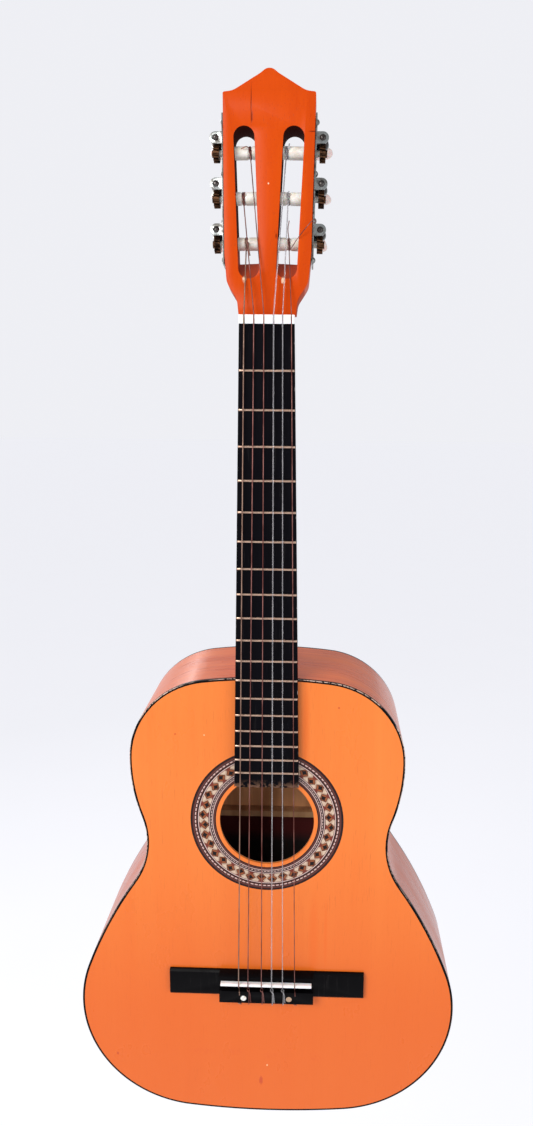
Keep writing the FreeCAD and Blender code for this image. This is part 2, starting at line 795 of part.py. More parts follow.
def make_roller(name, side, post, string_x):
    """Make a roller with its journal and gear pin, drilled for the string and for the gear's screw."""
    gear_far = value("worm_x + gear_width / 2")
    barrel = outward_bar(side, "roller_diameter / 2", -value("roller_length"), 0)
    journal = outward_bar(side, "journal_diameter / 2", 0, value("worm_x - gear_width / 2"))
    pin = outward_bar(side, "pin_diameter / 2", 0, gear_far)
    screw_hole = outward_bar(side, "gear_screw / 2", gear_far - value("gear_screw_length"), gear_far)
    drill_start = (string_x - side * value("head_side"), "post_depth - roller_diameter", 0)
    string_hole = cylinder("string_hole / 2", "2 * roller_diameter", drill_start, "y")
    roller = cut(fuse(barrel, journal, pin), screw_hole, string_hole)
    keep(f"roller_{name}", on_side(roller, side, post))


def lead_angle():
    """Give the worm thread's slope where it meets the gear."""
    pitch_radius = value("(worm_core + worm_radius) / 2")
    return math.degrees(math.atan(value("worm_lead") / (2 * math.pi * pitch_radius)))


def gashes():
    """Make the cutters of the gear's tooth gaps around x, tilted to the worm's lead."""
    length = 3 * value("gear_width")
    root_half, tip_half = value("gash_root") / 2, value("gash_tip") / 2
    root, tip = value("gear_root"), value("gear_radius") + 0.5
    teeth = int(value("gear_teeth"))
    section = ((-root_half, root), (root_half, root), (tip_half, tip), (-tip_half, tip))
    corners = [Vector(-length / 2, across, out) for across, out in section]
    face = Part.Face(Part.makePolygon(corners + corners[:1]))
    cutters = []
    for tooth in range(teeth):
        cutter = face.extrude(Vector(length, 0, 0))
        cutter.rotate(Vector(), Vector(0, 0, 1), -lead_angle())
        cutter.rotate(Vector(), Vector(1, 0, 0), 360 / teeth * (tooth + 0.5))
        cutters.append(cutter)
    return Part.makeCompound(cutters)


def make_gear(name, side, post):
    """Make the brass gear and the slotted screw that holds it on its pin."""
    near = value("worm_x - gear_width / 2")
    far = value("worm_x + gear_width / 2")
    cutter = doc.addObject("Part::Feature", "gashes")
    cutter.Shape = gashes()
    cutter.Placement = Placement(Vector(side * value("worm_x"), value("post_depth"), 0), Rotation())
    bore = outward_bar(side, "pin_diameter / 2", 0, 2 * far)
    gear = cut(outward_bar(side, "gear_radius", near, far), cutter, bore)

    top = far + value("gear_screw_rise")
    head = outward_bar(side, "gear_screw_head / 2", far, top)
    shank = outward_bar(side, "gear_screw / 2", far - value("gear_screw_length"), far)
    slot_x = side * top
    slot = box((f"{slot_x} - screw_slot", f"{slot_x} + screw_slot"),
               ("post_depth - screw_slot / 2", "post_depth + screw_slot / 2"),
               ("-gear_screw_head", "gear_screw_head"))
    screw = cut(fuse(head, shank), slot)
    keep(f"gear_{name}", on_side(compound(gear, screw), side, post))


def worm_thread():
    """Sweep the worm's right-hand thread along z, its middle at the origin and a gap facing +y."""
    sunk = 0.3
    core, crest, lead = value("worm_core") - sunk, value("worm_radius"), value("worm_lead")
    length = lead * value("worm_turns")
    root_half, crest_half = value("thread_root") / 2, value("thread_crest") / 2
    section = ((core, -root_half), (crest, -crest_half), (crest, crest_half), (core, root_half))
    corners = [Vector(out, 0, along) for out, along in section]
    profile = Part.makePolygon(corners + corners[:1])
    thread = doc.addObject("Part::Feature", "thread")
    thread.Shape = Part.Wire(Part.makeHelix(lead, length, crest)).makePipeShell([profile], True, True)
    thread.Placement = Placement(Vector(0, 0, -length / 2), Rotation(Vector(0, 0, 1), -90))
    return thread


def make_worm(name, side, post):
    """Make the worm with its shaft, along z from the middle of its thread towards the button."""
    half = "(worm_lead * worm_turns / 2 + worm_collar)"
    front = "(lug_front - 2 * running_clearance - post_depth)"
    core = cylinder("worm_core", f"2 * {half}", (0, 0, f"-{half}"), "z")
    shaft = cylinder("shaft_diameter / 2", "shaft_end - lug_front", (0, 0, front), "z")
    outward = Rotation(Vector(1, 0, 0), 180)
    cap = dome(value("shaft_cap") / 2, value("shaft_cap_height"), (0, 0, value(front)), outward)
    worm = fuse(worm_thread(), core, shaft, cap)
    worm.Placement = side_frame(side) * worm_place(side, post)
    keep(f"worm_{name}", worm)


def worm_place(side, post):
    """Give a worm's place in its side's frame."""
    along = (post - 1) * value("post_pitch") + value("worm_offset")
    return Placement(Vector(side * value("worm_x"), value("post_depth"), along), AXIS_TURN["y"])


def make_button(name, side, post, turn):
    """Make a paddle-shaped button: a collar that widens into a flat oval grip."""
    half, length = value("button_width") / 2, value("button_length")
    thickness = value("button_thickness")
    outline = [(half * across, length * along) for across, along in BUTTON_OUTLINE]
    mirrored = [(-across, along) for across, along in reversed(outline)]
    paddle = extrusion(polygon(outline + mirrored), "xy", -thickness / 2, thickness)
    rounded = doc.addObject("Part::Fillet", "button_round")
    rounded.Base = paddle
    doc.recompute()
    radius = value("button_round")
    rounded.Edges = [(number, radius, radius) for number, edge in enumerate(paddle.Shape.Edges, 1)
                     if abs(abs(edge.CenterOfMass.z) - thickness / 2) < 0.01]
    bore = cylinder("shaft_diameter / 2", "shaft_end - button_start", (0, 0, 0), "y")
    button = cut(rounded, bore)
    upright = AXIS_TURN["y"].inverted() * Rotation(Vector(0, 1, 0), turn)
    on_shaft = Placement(Vector(0, 0, value("button_start - post_depth")), upright)
    button.Placement = side_frame(side) * worm_place(side, post) * on_shaft
    keep(f"button_{name}", button)


def roller_point(side, post, string_x, lift):
    """Give the point in front of a roller, a distance from its axis, where a string meets it."""
    along = (post - 1) * value("post_pitch")
    local = Vector(string_x - side * value("head_side"), value("post_depth") - lift, along)
    return side_frame(side).multVec(local)


def make_turns(name, side, post, string_x, diameter):
    """Make the turns of string on a roller as one ring."""
    width = value("turns_width") * diameter
    low = string_x - side * value("head_side") - width / 2
    inner = value("roller_diameter") / 2
    ring = cylinder(inner + diameter, width, (low, "post_depth", "0"), "x")
    hollow = cylinder(inner, width, (low, "post_depth", "0"), "x")
    keep(f"string_turns_{name}", on_side(cut(ring, hollow), side, post))


def over_round(before, centre, after, radius):
    """Give the corner of a path whose tangent arc of a radius is centred on a bar's axis."""
    corner = centre
    refinements = 8
    for _ in range(refinements):
        inward, outward = (before - corner).normalize(), (after - corner).normalize()
        bisector = (inward + outward).normalize()
        corner = centre - bisector * (radius / math.sin(inward.getAngle(outward) / 2))
    return corner


def tube(points, bends, radius):
    """Sweep a round string along straight runs joined by tangent arcs."""
    edges = []
    last = points[0]
    for before, corner, after, bend in zip(points, points[1:], points[2:], bends):
        inward, outward = (before - corner).normalize(), (after - corner).normalize()
        half = inward.getAngle(outward) / 2
        reach = bend / math.tan(half)
        start, end = corner + inward * reach, corner + outward * reach
        middle_dir = (inward + outward).normalize()
        middle = corner + middle_dir * (bend / math.sin(half) - bend)
        edges.append(Part.LineSegment(last, start).toShape())
        edges.append(Part.Arc(start, middle, end).toShape())
        last = end
    edges.append(Part.LineSegment(last, points[-1]).toShape())
    ring = Part.Wire(Part.makeCircle(radius, points[0], points[1] - points[0]))
    return Part.Wire(edges).makePipeShell([ring], True, False)


def make_string(name, diameter, nut_x, saddle_x, roller_x, post):
    """Make a string from its hole in the tie block over the saddle and the nut to its roller."""
    side = 1 if roller_x > 0 else -1
    radius = diameter / 2
    hole_level = value(f"{BOARD_BACK} - tie_hole_height")
    block_end = -value("bridge_station + block_width")
    block_face = block_end + value("tie_width")
    crown_radius = value("saddle_thickness") / 2
    crown_centre = Vector(saddle_x, crown_radius - value("saddle_top"), -value("saddle_station"))
    nut_level = -value("nut_slot_floor") - radius
    nut_back = value("nut_rise + nut_length")
    landing = roller_point(side, post, roller_x, value("roller_diameter") / 2 + radius)
    nut_point = Vector(nut_x, nut_level, nut_back)
    stop = landing + (nut_point - landing).normalize() * value("string_stop")
    hole_mouth = Vector(saddle_x, hole_level, block_face + value("knot_run"))
    crown_bend = crown_radius + radius + value("string_gap")
    crown_corner = over_round(hole_mouth, crown_centre, nut_point, crown_bend)
    points = [Vector(saddle_x, hole_level, block_end + 1), hole_mouth, crown_corner, nut_point, stop]
    body = doc.addObject("Part::Feature", "string")
    body.Shape = tube(points, (value("knot_bend"), crown_bend, value("nut_bend")), radius)
    keep(f"string_{name}", body)


def write_parts():
    """Check every object and write each piece to its own file."""
    doc.recompute()
    for obj in doc.Objects:
        if "Invalid" in obj.State or "Error" in obj.State:
            raise RuntimeError(f"{obj.Name} is {obj.State}")
    os.makedirs("parts", exist_ok=True)
    for name, obj in parts.items():
        shape = obj.Shape
        if shape.isNull() or not shape.isValid():
            raise RuntimeError(f"{name} has no valid shape")
        shape.exportStep(f"parts/{name}.step")
        print(f"{name:24s} solids {len(shape.Solids):2d}  volume {shape.Volume:12.1f}")


make_body()
make_braces()
make_bridge()
make_fingerboard()
make_neck()
make_headstock()
for plate_side, plate_name in zip(SIDES, ("tuner_plate_bass", "tuner_plate_treble")):
    keep(plate_name, plate_flat(plate_side))
screws = [plate_screw(side, station) for side in SIDES for station in SCREW_STATIONS]
keep("plate_screws", compound(*screws))
for string_name, gauge, at_nut, at_saddle, at_roller, post_number, button_turn in STRINGS:
    string_side = 1 if at_roller > 0 else -1
    make_string(string_name, gauge, at_nut, at_saddle, at_roller, post_number)
    make_turns(string_name, string_side, post_number, at_roller, gauge)
    make_roller(string_name, string_side, post_number, at_roller)
    make_gear(string_name, string_side, post_number)
    make_worm(string_name, string_side, post_number)
    make_button(string_name, string_side, post_number, button_turn)
write_parts()
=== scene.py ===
"""Looks of a three-quarter classical guitar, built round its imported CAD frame. Metres throughout."""
import json
import math
import random

import bmesh
import bpy
import numpy as np
from mathutils import Matrix, Vector


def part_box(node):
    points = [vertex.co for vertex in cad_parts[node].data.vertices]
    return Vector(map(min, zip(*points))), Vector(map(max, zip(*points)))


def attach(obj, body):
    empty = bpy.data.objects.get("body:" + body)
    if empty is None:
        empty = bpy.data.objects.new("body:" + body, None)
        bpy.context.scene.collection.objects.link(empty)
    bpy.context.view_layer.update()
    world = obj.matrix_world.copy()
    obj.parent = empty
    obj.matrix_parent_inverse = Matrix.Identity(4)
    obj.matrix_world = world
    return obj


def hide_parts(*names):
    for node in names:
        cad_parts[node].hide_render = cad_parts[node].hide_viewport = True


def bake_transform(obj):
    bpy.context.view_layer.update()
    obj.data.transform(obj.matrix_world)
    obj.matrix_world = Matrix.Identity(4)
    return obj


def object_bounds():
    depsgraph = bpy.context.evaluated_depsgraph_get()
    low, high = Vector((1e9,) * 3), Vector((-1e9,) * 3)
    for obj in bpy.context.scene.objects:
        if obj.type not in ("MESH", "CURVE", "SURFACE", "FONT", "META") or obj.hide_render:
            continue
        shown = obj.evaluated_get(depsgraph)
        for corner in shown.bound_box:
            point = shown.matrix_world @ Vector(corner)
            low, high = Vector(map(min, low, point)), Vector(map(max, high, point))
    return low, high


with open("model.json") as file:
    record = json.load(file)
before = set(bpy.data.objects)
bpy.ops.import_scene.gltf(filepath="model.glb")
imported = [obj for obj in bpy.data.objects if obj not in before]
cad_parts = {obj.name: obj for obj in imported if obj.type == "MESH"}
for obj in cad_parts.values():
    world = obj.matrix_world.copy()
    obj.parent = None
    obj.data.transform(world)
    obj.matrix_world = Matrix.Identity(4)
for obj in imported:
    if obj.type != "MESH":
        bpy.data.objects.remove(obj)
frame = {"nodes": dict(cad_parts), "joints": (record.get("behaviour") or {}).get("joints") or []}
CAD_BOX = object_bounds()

MM = 0.001
NODES = frame["nodes"]
JOINTS = {joint["name"]: joint for joint in frame["joints"]}
STRINGS = ("low_e", "a", "d", "g", "b", "high_e")
WOUND = ("low_e", "a", "d", "high_e")
HEAD_LEAN = math.radians(8.4)
FLAT = 0.004  # the largest turn, in radians, between two faces of one flat side
SOUNDBOARD_BACK = 0.0094  # depth at which the soundboard's bare inner face begins
BACK_PANEL_INSIDE = 0.0985  # depth at which the back panel's varnish begins
BACK_SHADOW_LINE = -0.465  # height under which the inside of the back is painted dark as shadow; above it the bare wood is painted lighter as lit
BINDING_WIDTH = 2.0 * MM
RIB_THICKNESS = 2.0 * MM
SKY = (0.935, 0.940, 0.985, 1)
random.seed(7)


# ---------------------------------------------------------------- shaders

class Shader:
    """A material's node tree, with a short call for each node that the finishes share."""

    def __init__(self, name, shine=0.5):
        self.shine = shine
        self.material = bpy.data.materials.new(name)
        self.material.use_nodes = True
        self.tree = self.material.node_tree
        self.tree.nodes.clear()
        output = self.node("ShaderNodeOutputMaterial")
        self.surface = self.node("ShaderNodeBsdfPrincipled")
        self.tree.links.new(self.surface.outputs[0], output.inputs["Surface"])
        places = self.node("ShaderNodeTexCoord")
        self.place, self.normal = places.outputs["Object"], places.outputs["Normal"]
        split = self.node("ShaderNodeSeparateXYZ", Vector=self.place)
        self.x, self.y, self.z = split.outputs

    def node(self, kind, settings=None, **inputs):
        """Add a node, set its properties, and fill its inputs with values or other nodes' outputs."""
        made = self.tree.nodes.new(kind)
        for name, value in (settings or {}).items():
            setattr(made, name, value)
        for name, value in inputs.items():
            self.fill(made.inputs[name.replace("_", " ")], value)
        return made

    def fill(self, socket, value):
        """Give a socket a value, or link an output to it."""
        if isinstance(value, bpy.types.NodeSocket):
            self.tree.links.new(value, socket)
        else:
            socket.default_value = value

    def math(self, operation, *values, clamp=False):
        made = self.node("ShaderNodeMath", {"operation": operation, "use_clamp": clamp})
        for socket, value in zip(made.inputs, values):
            self.fill(socket, value)
        return made.outputs[0]

    def times(self, first, second):
        return self.math("MULTIPLY", first, second)

    def plus(self, first, second, clamp=False):
        return self.math("ADD", first, second, clamp=clamp)

    def minus(self, first, second):
        return self.math("SUBTRACT", first, second)

    def size(self, value):
        return self.math("ABSOLUTE", value)

    def stretch(self, x, y, z, vector=None):
        """Scale the object's coordinates, so that noise runs long along the axis with the least scale."""
        made = self.node("ShaderNodeVectorMath", {"operation": "MULTIPLY"})
        self.fill(made.inputs[0], vector or self.place)
        made.inputs[1].default_value = (x, y, z)
        return made.outputs[0]

    def noise(self, vector, detail=3.0, roughness=0.55, distortion=0.0):
        made = self.node("ShaderNodeTexNoise", Vector=vector, Scale=1.0, Detail=detail,
                         Roughness=roughness, Distortion=distortion)
        return made.outputs["Fac"]

    def cloud(self, scale, detail=3.0, distortion=0.0):
        """Noise of one scale in every direction."""
        return self.noise(self.stretch(scale, scale, scale), detail, distortion=distortion)

    def span(self, value, low, high, to_low=0.0, to_high=1.0, smooth=True):
        """Map a value's range to another, clamped."""
        kind = "SMOOTHSTEP" if smooth else "LINEAR"
        made = self.node("ShaderNodeMapRange", {"interpolation_type": kind})
        for index, number in enumerate((value, low, high, to_low, to_high)):
            self.fill(made.inputs[index], number)
        return made.outputs[0]

    def ramp(self, value, stops, constant=False):
        made = self.node("ShaderNodeValToRGB", Fac=value)
        band = made.color_ramp
        band.interpolation = "CONSTANT" if constant else "LINEAR"
        while len(band.elements) < len(stops):
            band.elements.new(0.5)
        for element, (position, color) in zip(band.elements, stops):
            element.position = position
            element.color = (*color, 1.0)
        return made.outputs["Color"]

    def mix(self, factor, first, second, blend="MIX"):
        made = self.node("ShaderNodeMix", {"data_type": "RGBA", "blend_type": blend})
        for socket, value in zip((made.inputs[0], made.inputs[6], made.inputs[7]), (factor, first, second)):
            self.fill(socket, (*value, 1.0) if isinstance(value, tuple) else value)
        return made.outputs[2]

    def bump(self, height, distance, strength=1.0, normal=None):
        made = self.node("ShaderNodeBump", Height=height, Distance=distance, Strength=strength)
        if normal is not None:
            self.fill(made.inputs["Normal"], normal)
        return made.outputs["Normal"]

    def attribute(self, name):
        return self.node("ShaderNodeAttribute", {"attribute_name": name}).outputs["Fac"]

    def oval(self, center_x, center_z, radius_x, radius_z, soft=0.5, wobble=0.0):
        """Mask an oval patch of the front, 1 inside, with an uneven edge."""
        across = self.math("DIVIDE", self.minus(self.x, center_x), radius_x)
        along = self.math("DIVIDE", self.minus(self.z, center_z), radius_z)
        distance = self.math("SQRT", self.plus(self.times(across, across),
                                               self.times(along, along)))
        if wobble:
            ragged = self.noise(self.stretch(2.2 / radius_x, 1, 2.2 / radius_z), detail=2)
            distance = self.plus(distance, self.times(self.minus(ragged, 0.5), wobble))
        return self.span(distance, 1.0, 1.0 - soft)

    def most(self, masks):
        """Join masks, keeping the strongest."""
        joined = masks[0]
        for mask in masks[1:]:
            joined = self.math("MAXIMUM", joined, mask)
        return joined

    def done(self, color, roughness, **inputs):
        """Set the surface's sockets and give the material."""
        self.fill(self.surface.inputs["Base Color"], (*color, 1.0) if isinstance(color, tuple) else color)
        self.fill(self.surface.inputs["Roughness"], roughness)
        self.surface.inputs["Specular IOR Level"].default_value = self.shine
        for name, value in inputs.items():
            self.fill(self.surface.inputs[name.replace("_", " ")], value)
        return self.material


def grain(s, light, dark, scales, ring=0.35, streak=0.8, mottle=0.25):
    """Wood colour with broad streaks, growth lines and a slow mottle, and its height for the bump."""
    across, along = scales
    def run(size):
        return s.stretch(*[length * size for length in (across, across, along)])
    broad = s.noise(run(1.0), detail=4)
    lines = s.noise(run(9.0), detail=3, roughness=0.65)
    pores = s.noise(s.stretch(across * 40, across * 40, along * 45), detail=2)
    tone = s.times(s.minus(broad, 0.5), streak)
    tone = s.plus(tone, s.times(s.minus(lines, 0.5), ring))
    slow = s.noise(s.stretch(9, 9, 7), detail=2)
    tone = s.plus(tone, s.times(s.minus(slow, 0.5), mottle))
    factor = s.plus(tone, 0.5, clamp=True)
    color = s.mix(factor, dark, light)
    pore_mask = s.span(pores, 0.36, 0.28)
    color = s.mix(s.times(pore_mask, 0.35), color, tuple(0.45 * c for c in dark))
    height = s.minus(s.times(lines, 0.5), s.times(pore_mask, 0.5))
    return color, height


def bare_color(s):
    """Pale unfinished wood, as it is inside the box."""
    streaks = s.noise(s.stretch(60, 60, 2.0), detail=4)
    return s.mix(s.span(streaks, 0.3, 0.7), (0.40, 0.19, 0.085), (0.62, 0.34, 0.17))


def soundboard_material():
    """Orange-stained top under thick gloss, with darker bands, dings and the smudges of old residue."""
    s = Shader("soundboard_varnish", 0.30)
    color, height = grain(s, (0.80, 0.215, 0.034), (0.73, 0.150, 0.016), (52, 1.3), 0.30, 0.85, 0.6)
    # painted reflection: the colour deepens towards the bottom, so the upper part is painted paler as if it
    # caught a reflection
    deeper = s.span(s.z, -0.40, -0.64)
    color = s.mix(s.times(deeper, 0.75), color, (0.66, 0.098, 0.003))
    bands = s.most([
        s.oval(0.0335, -0.335, 0.0050, 0.060, 0.8, 0.3),
        s.oval(0.0430, -0.545, 0.0060, 0.062, 0.8, 0.3),
        s.oval(0.0540, -0.540, 0.0022, 0.050, 0.8, 0.3),
    ])
    color = s.mix(s.times(bands, 0.5), color, (0.72, 0.115, 0.004))
    ghost = s.most([
        s.oval(-0.060, -0.6655, 0.017, 0.0046, 0.6, 1.4),
        s.oval(-0.030, -0.6650, 0.012, 0.0050, 0.6, 1.4),
        s.oval(0.004, -0.6680, 0.009, 0.0040, 0.6, 1.4),
        s.oval(0.046, -0.6690, 0.008, 0.0050, 0.6, 1.4),
    ])
    blotch = s.span(s.cloud(420, 3), 0.42, 0.62)
    ghost = s.times(ghost, s.times(blotch, 0.45))
    color = s.mix(ghost, color, (0.66, 0.100, 0.010))
    dings = s.most([
        s.oval(0.0624, -0.3160, 0.0011, 0.0012, 0.5, 0.6),
        s.oval(-0.0805, -0.3431, 0.0010, 0.0010, 0.5, 0.6),
        s.oval(-0.1426, -0.6709, 0.0012, 0.0020, 0.5, 0.6),
        s.oval(-0.0054, -0.6961, 0.0022, 0.0055, 0.5, 0.8),
    ])
    color = s.mix(s.times(dings, 0.8), color, (0.50, 0.050, 0.008))
    chips = s.most([
        s.oval(-0.0550, -0.3435, 0.0008, 0.0008, 0.5, 0.6),
        s.oval(0.0004, -0.6790, 0.0009, 0.0012, 0.5, 0.6),
        s.oval(-0.0243, -0.4834, 0.0007, 0.0042, 0.6, 0.8),
    ])
    color = s.mix(s.times(chips, 0.75), color, (0.98, 0.62, 0.34))
    orange_peel = s.noise(s.stretch(180, 180, 120), detail=2)
    relief = s.plus(s.times(height, 0.5), s.times(orange_peel, 0.6))
    relief = s.minus(relief, s.times(s.math("MAXIMUM", dings, chips), 2.0))
    rubbed = s.noise(s.stretch(30, 30, 14), detail=4)
    roughness = s.span(rubbed, 0.3, 0.7, 0.26, 0.40)
    inside = s.math("GREATER_THAN", s.y, SOUNDBOARD_BACK)
    color = s.mix(inside, color, bare_color(s))
    return s.done(color, roughness, Normal=s.bump(relief, 0.00012, 0.5),
                  Coat_Weight=0.15, Coat_Roughness=0.14)


def rib_material():
    """Reddish-brown stained ribs, their grain running round the body and their inner face bare."""
    s = Shader("rib_varnish", 0.30)
    arc = s.attribute("arc")
    around = s.node("ShaderNodeCombineXYZ", X=arc, Y=s.y).outputs[0]
    lines = s.noise(s.stretch(3.5, 300, 1, around), detail=4, roughness=0.6, distortion=0.3)
    broad = s.noise(s.stretch(6, 40, 1, around), detail=3)
    pores = s.noise(s.stretch(90, 2400, 1, around), detail=2)
    tone = s.plus(s.times(lines, 0.45), s.times(broad, 0.55))
    stain = ((0.34, (0.50, 0.072, 0.014)), (0.52, (0.66, 0.125, 0.024)), (0.70, (0.78, 0.19, 0.040)))
    color = s.ramp(tone, stain)
    # painted shade: the ribs are darkened towards the bottom, standing in for the shade on their lower part
    low = s.span(s.z, -0.36, -0.52, 0.0, 0.55)
    color = s.mix(low, color, (0.36, 0.060, 0.018))
    pore_mask = s.span(pores, 0.38, 0.30)
    color = s.mix(s.times(pore_mask, 0.3), color, (0.20, 0.035, 0.012))
    inside = s.attribute("inside")
    color = s.mix(inside, color, bare_color(s))
    height = s.minus(s.times(lines, 0.4), pore_mask)
    roughness = s.plus(s.span(broad, 0.3, 0.7, 0.22, 0.36), s.times(inside, 0.4))
    return s.done(color, roughness, Normal=s.bump(height, 0.00008, 0.5),
                  Coat_Weight=0.15, Coat_Roughness=0.12)


def back_material():
    """The back's flat panel: the same stain, its grain along the body, with pale scuffs."""
    s = Shader("back_varnish", 0.35)
    color, height = grain(s, (0.66, 0.155, 0.044), (0.38, 0.066, 0.018), (30, 1.0), 0.5, 1.3, 0.5)
    scuffs = s.span(s.noise(s.stretch(26, 26, 60), detail=5), 0.60, 0.70)
    color = s.mix(s.times(scuffs, 0.22), color, (0.72, 0.26, 0.10))
    roughness = s.plus(0.24, s.times(scuffs, 0.2))
    inside = s.math("LESS_THAN", s.y, BACK_PANEL_INSIDE)
    # painted shadow and painted light inside the back: dark red fading to black below the shadow line, and
    # the bare wood brightened above it as if lit through the soundhole
    painted_shadow = s.mix(s.span(s.z, -0.482, -0.498), (0.085, 0.006, 0.006), (0.012, 0.007, 0.007))
    below = s.span(s.z, BACK_SHADOW_LINE + 0.003, BACK_SHADOW_LINE - 0.003)
    hidden = s.mix(below, s.mix(1.0, bare_color(s), (1.5, 1.35, 1.25), "MULTIPLY"), painted_shadow)
    color = s.mix(inside, color, hidden)
    roughness = s.plus(roughness, s.times(inside, 0.5))
    return s.done(color, roughness, Normal=s.bump(height, 0.00010, 0.5),
                  Coat_Weight=0.45, Coat_Roughness=0.10)


def neck_material(name, flaws):
    """Deep orange neck wood; the head adds its cracks, chips and worn slot feet."""
    s = Shader(name, 0.08)
    color, height = grain(s, (0.62, 0.074, 0.003), (0.46, 0.036, 0.0015), (44, 2.6), 0.35, 1.1, 0.6)
    roughness = 0.30
    if flaws:
        cracks = s.most([
            s.oval(-0.0140, 0.1700, 0.0006, 0.0185, 0.7, 0.8),
            s.oval(-0.0134, 0.1590, 0.0010, 0.0060, 0.7, 0.9),
            s.oval(0.0340, 0.1482, 0.0042, 0.0006, 0.6, 0.9),
            s.oval(0.0065, 0.0700, 0.0010, 0.0030, 0.9, 0.9),
        ])
        color = s.mix(s.times(cracks, 0.8), color, (0.13, 0.010, 0.002))
        bare = s.most([
            s.oval(-0.0181, 0.0375, 0.0020, 0.0034, 0.6, 1.5),
            s.oval(0.0123, 0.0365, 0.0020, 0.0034, 0.6, 1.5),
            s.oval(0.0000, 0.1094, 0.0007, 0.0009, 0.5, 0.6),
        ])
        color = s.mix(s.times(bare, 0.85), color, (0.86, 0.62, 0.42))
        facing = s.node("ShaderNodeSeparateXYZ", Vector=s.normal).outputs[1]
        wall = s.times(s.span(facing, -0.75, -0.35), s.span(facing, 0.85, 0.6))
        within = s.times(s.span(s.size(s.x), 0.030, 0.028), s.span(s.z, 0.158, 0.152))
        within = s.times(within, s.span(s.z, 0.050, 0.070, 0.35, 1.0))
        shaded = s.times(wall, within)
        color = s.mix(shaded, color, (0.030, 0.003, 0.0015))
        height = s.minus(height, s.times(s.math("MAXIMUM", cracks, bare), 1.5))
        roughness = s.plus(0.28, s.times(bare, 0.4))
        roughness = s.plus(s.times(shaded, 0.7), roughness)
    wear = s.times(s.attribute("edge"), s.span(s.cloud(240, 4), 0.58, 0.63))
    color = s.mix(wear, color, (0.86, 0.50, 0.30))
    return s.done(color, roughness, Normal=s.bump(height, 0.00010, 0.5))


def bare_material():
    """Unfinished pale wood inside the body."""
    s = Shader("bare_wood")
    color = bare_color(s)
    height = s.noise(s.stretch(500, 500, 14), detail=3)
    return s.done(color, 0.72, Normal=s.bump(height, 0.00025, 0.7))


def black_wood_material(name, sheen_blue):
    """Dyed black wood with a faint grain, scratches and a rubbed satin shine."""
    s = Shader(name, 0.05)
    light, dark = (0.0026, 0.0022, 0.0028 + sheen_blue), (0.0008, 0.0007, 0.0010)
    color, height = grain(s, light, dark, (90, 5), 0.7, 0.9, 0.3)
    scratch = s.span(s.noise(s.stretch(900, 900, 26), detail=2), 0.66, 0.72)
    color = s.mix(s.times(scratch, 0.2), color, (0.05, 0.045, 0.045))
    chipped = s.times(s.attribute("chip"), s.span(s.cloud(320, 4), 0.44, 0.54))
    color = s.mix(chipped, color, (0.15, 0.080, 0.050))
    edge = s.times(s.attribute("edge"), s.span(s.cloud(170, 4), 0.62, 0.68))
    color = s.mix(edge, color, (0.42, 0.38, 0.36))
    rubbed = s.noise(s.stretch(60, 60, 22), detail=4)
    roughness = s.span(rubbed, 0.3, 0.7, 0.30, 0.48)
    return s.done(color, roughness, Normal=s.bump(height, 0.00012, 0.6))


def binding_material():
    """Black celluloid edge, worn through to pale specks along its corner."""
    s = Shader("binding_black", 0.06)
    patch = s.span(s.cloud(34, 3), 0.40, 0.52)
    fleck = s.span(s.cloud(420, 4), 0.38, 0.52)
    upper = s.span(s.z, -0.52, -0.40, 0.25, 1.0)
    worn = s.times(s.times(patch, fleck), s.times(s.attribute("edge"), upper))
    color = s.mix(worn, (0.004, 0.003, 0.0035), (0.62, 0.44, 0.36))
    roughness = s.plus(0.22, s.times(worn, 0.45))
    wave = s.cloud(300, 2)
    return s.done(color, roughness, Normal=s.bump(wave, 0.00008, 0.4))


def plastic_material(name, light, dark, roughness, vein=0.0, subsurface=0.12, treble_stain=None):
    """Ivory or pearl plastic: a soft cloudy colour with fine scratches, and darker brown blotches where the
    mesh marks a dark band.
    """
    s = Shader(name)
    cloud = s.cloud(160, 4, vein)
    color = s.mix(s.span(cloud, 0.35, 0.65), dark, light)
    if treble_stain:
        color = s.mix(s.math("GREATER_THAN", s.x, 0.0), color, treble_stain)
    # darker brown blotches in the band the mesh marks: the roller's string groove and the button's narrow
    # stem
    grime = s.times(s.attribute("grime"), s.span(s.cloud(700, 3), 0.35, 0.6))
    color = s.mix(grime, color, (0.20, 0.085, 0.055))
    scratch = s.noise(s.stretch(1500, 220, 900), detail=3)
    rough = s.span(scratch, 0.3, 0.7, roughness - 0.05, roughness + 0.08)
    return s.done(color, rough, Normal=s.bump(scratch, 0.00004, 0.4), Subsurface_Weight=subsurface,
                  Subsurface_Scale=0.004)


def metal_material(name, light, dark, roughness, tarnish, brushed=(900, 900, 60)):
    """Plated or bare metal with brush lines, tarnish clouds and dull pits."""
    s = Shader(name)
    brush = s.noise(s.stretch(*brushed), detail=3)
    cloud = s.span(s.cloud(210, 5), 0.42, 0.66)
    color = s.mix(s.times(cloud, tarnish), light, dark)
    pits = s.span(s.cloud(1400, 2), 0.68, 0.74)
    color = s.mix(s.times(pits, 0.5 * tarnish), color, tuple(0.4 * c for c in dark))
    rough = s.plus(s.span(brush, 0.3, 0.7, roughness - 0.05, roughness + 0.06),
                   s.times(cloud, 0.25 * tarnish))
    return s.done(color, rough, Metallic=1.0, Normal=s.bump(brush, 0.00003, 0.35))


def wound_material(name, light, dark):
    """A wound string: fine wire turns across its length, dulled by wear."""
    s = Shader(name)
    turns = s.math("SINE", s.times(s.z, 2 * math.pi / (0.28 * MM)))
    dull = s.noise(s.stretch(200, 200, 45), detail=3)
    color = s.mix(s.span(dull, 0.35, 0.7), light, dark)
    return s.done(color, s.span(dull, 0.3, 0.7, 0.30, 0.45), Metallic=0.85,
                  Normal=s.bump(turns, 0.00003, 0.6))


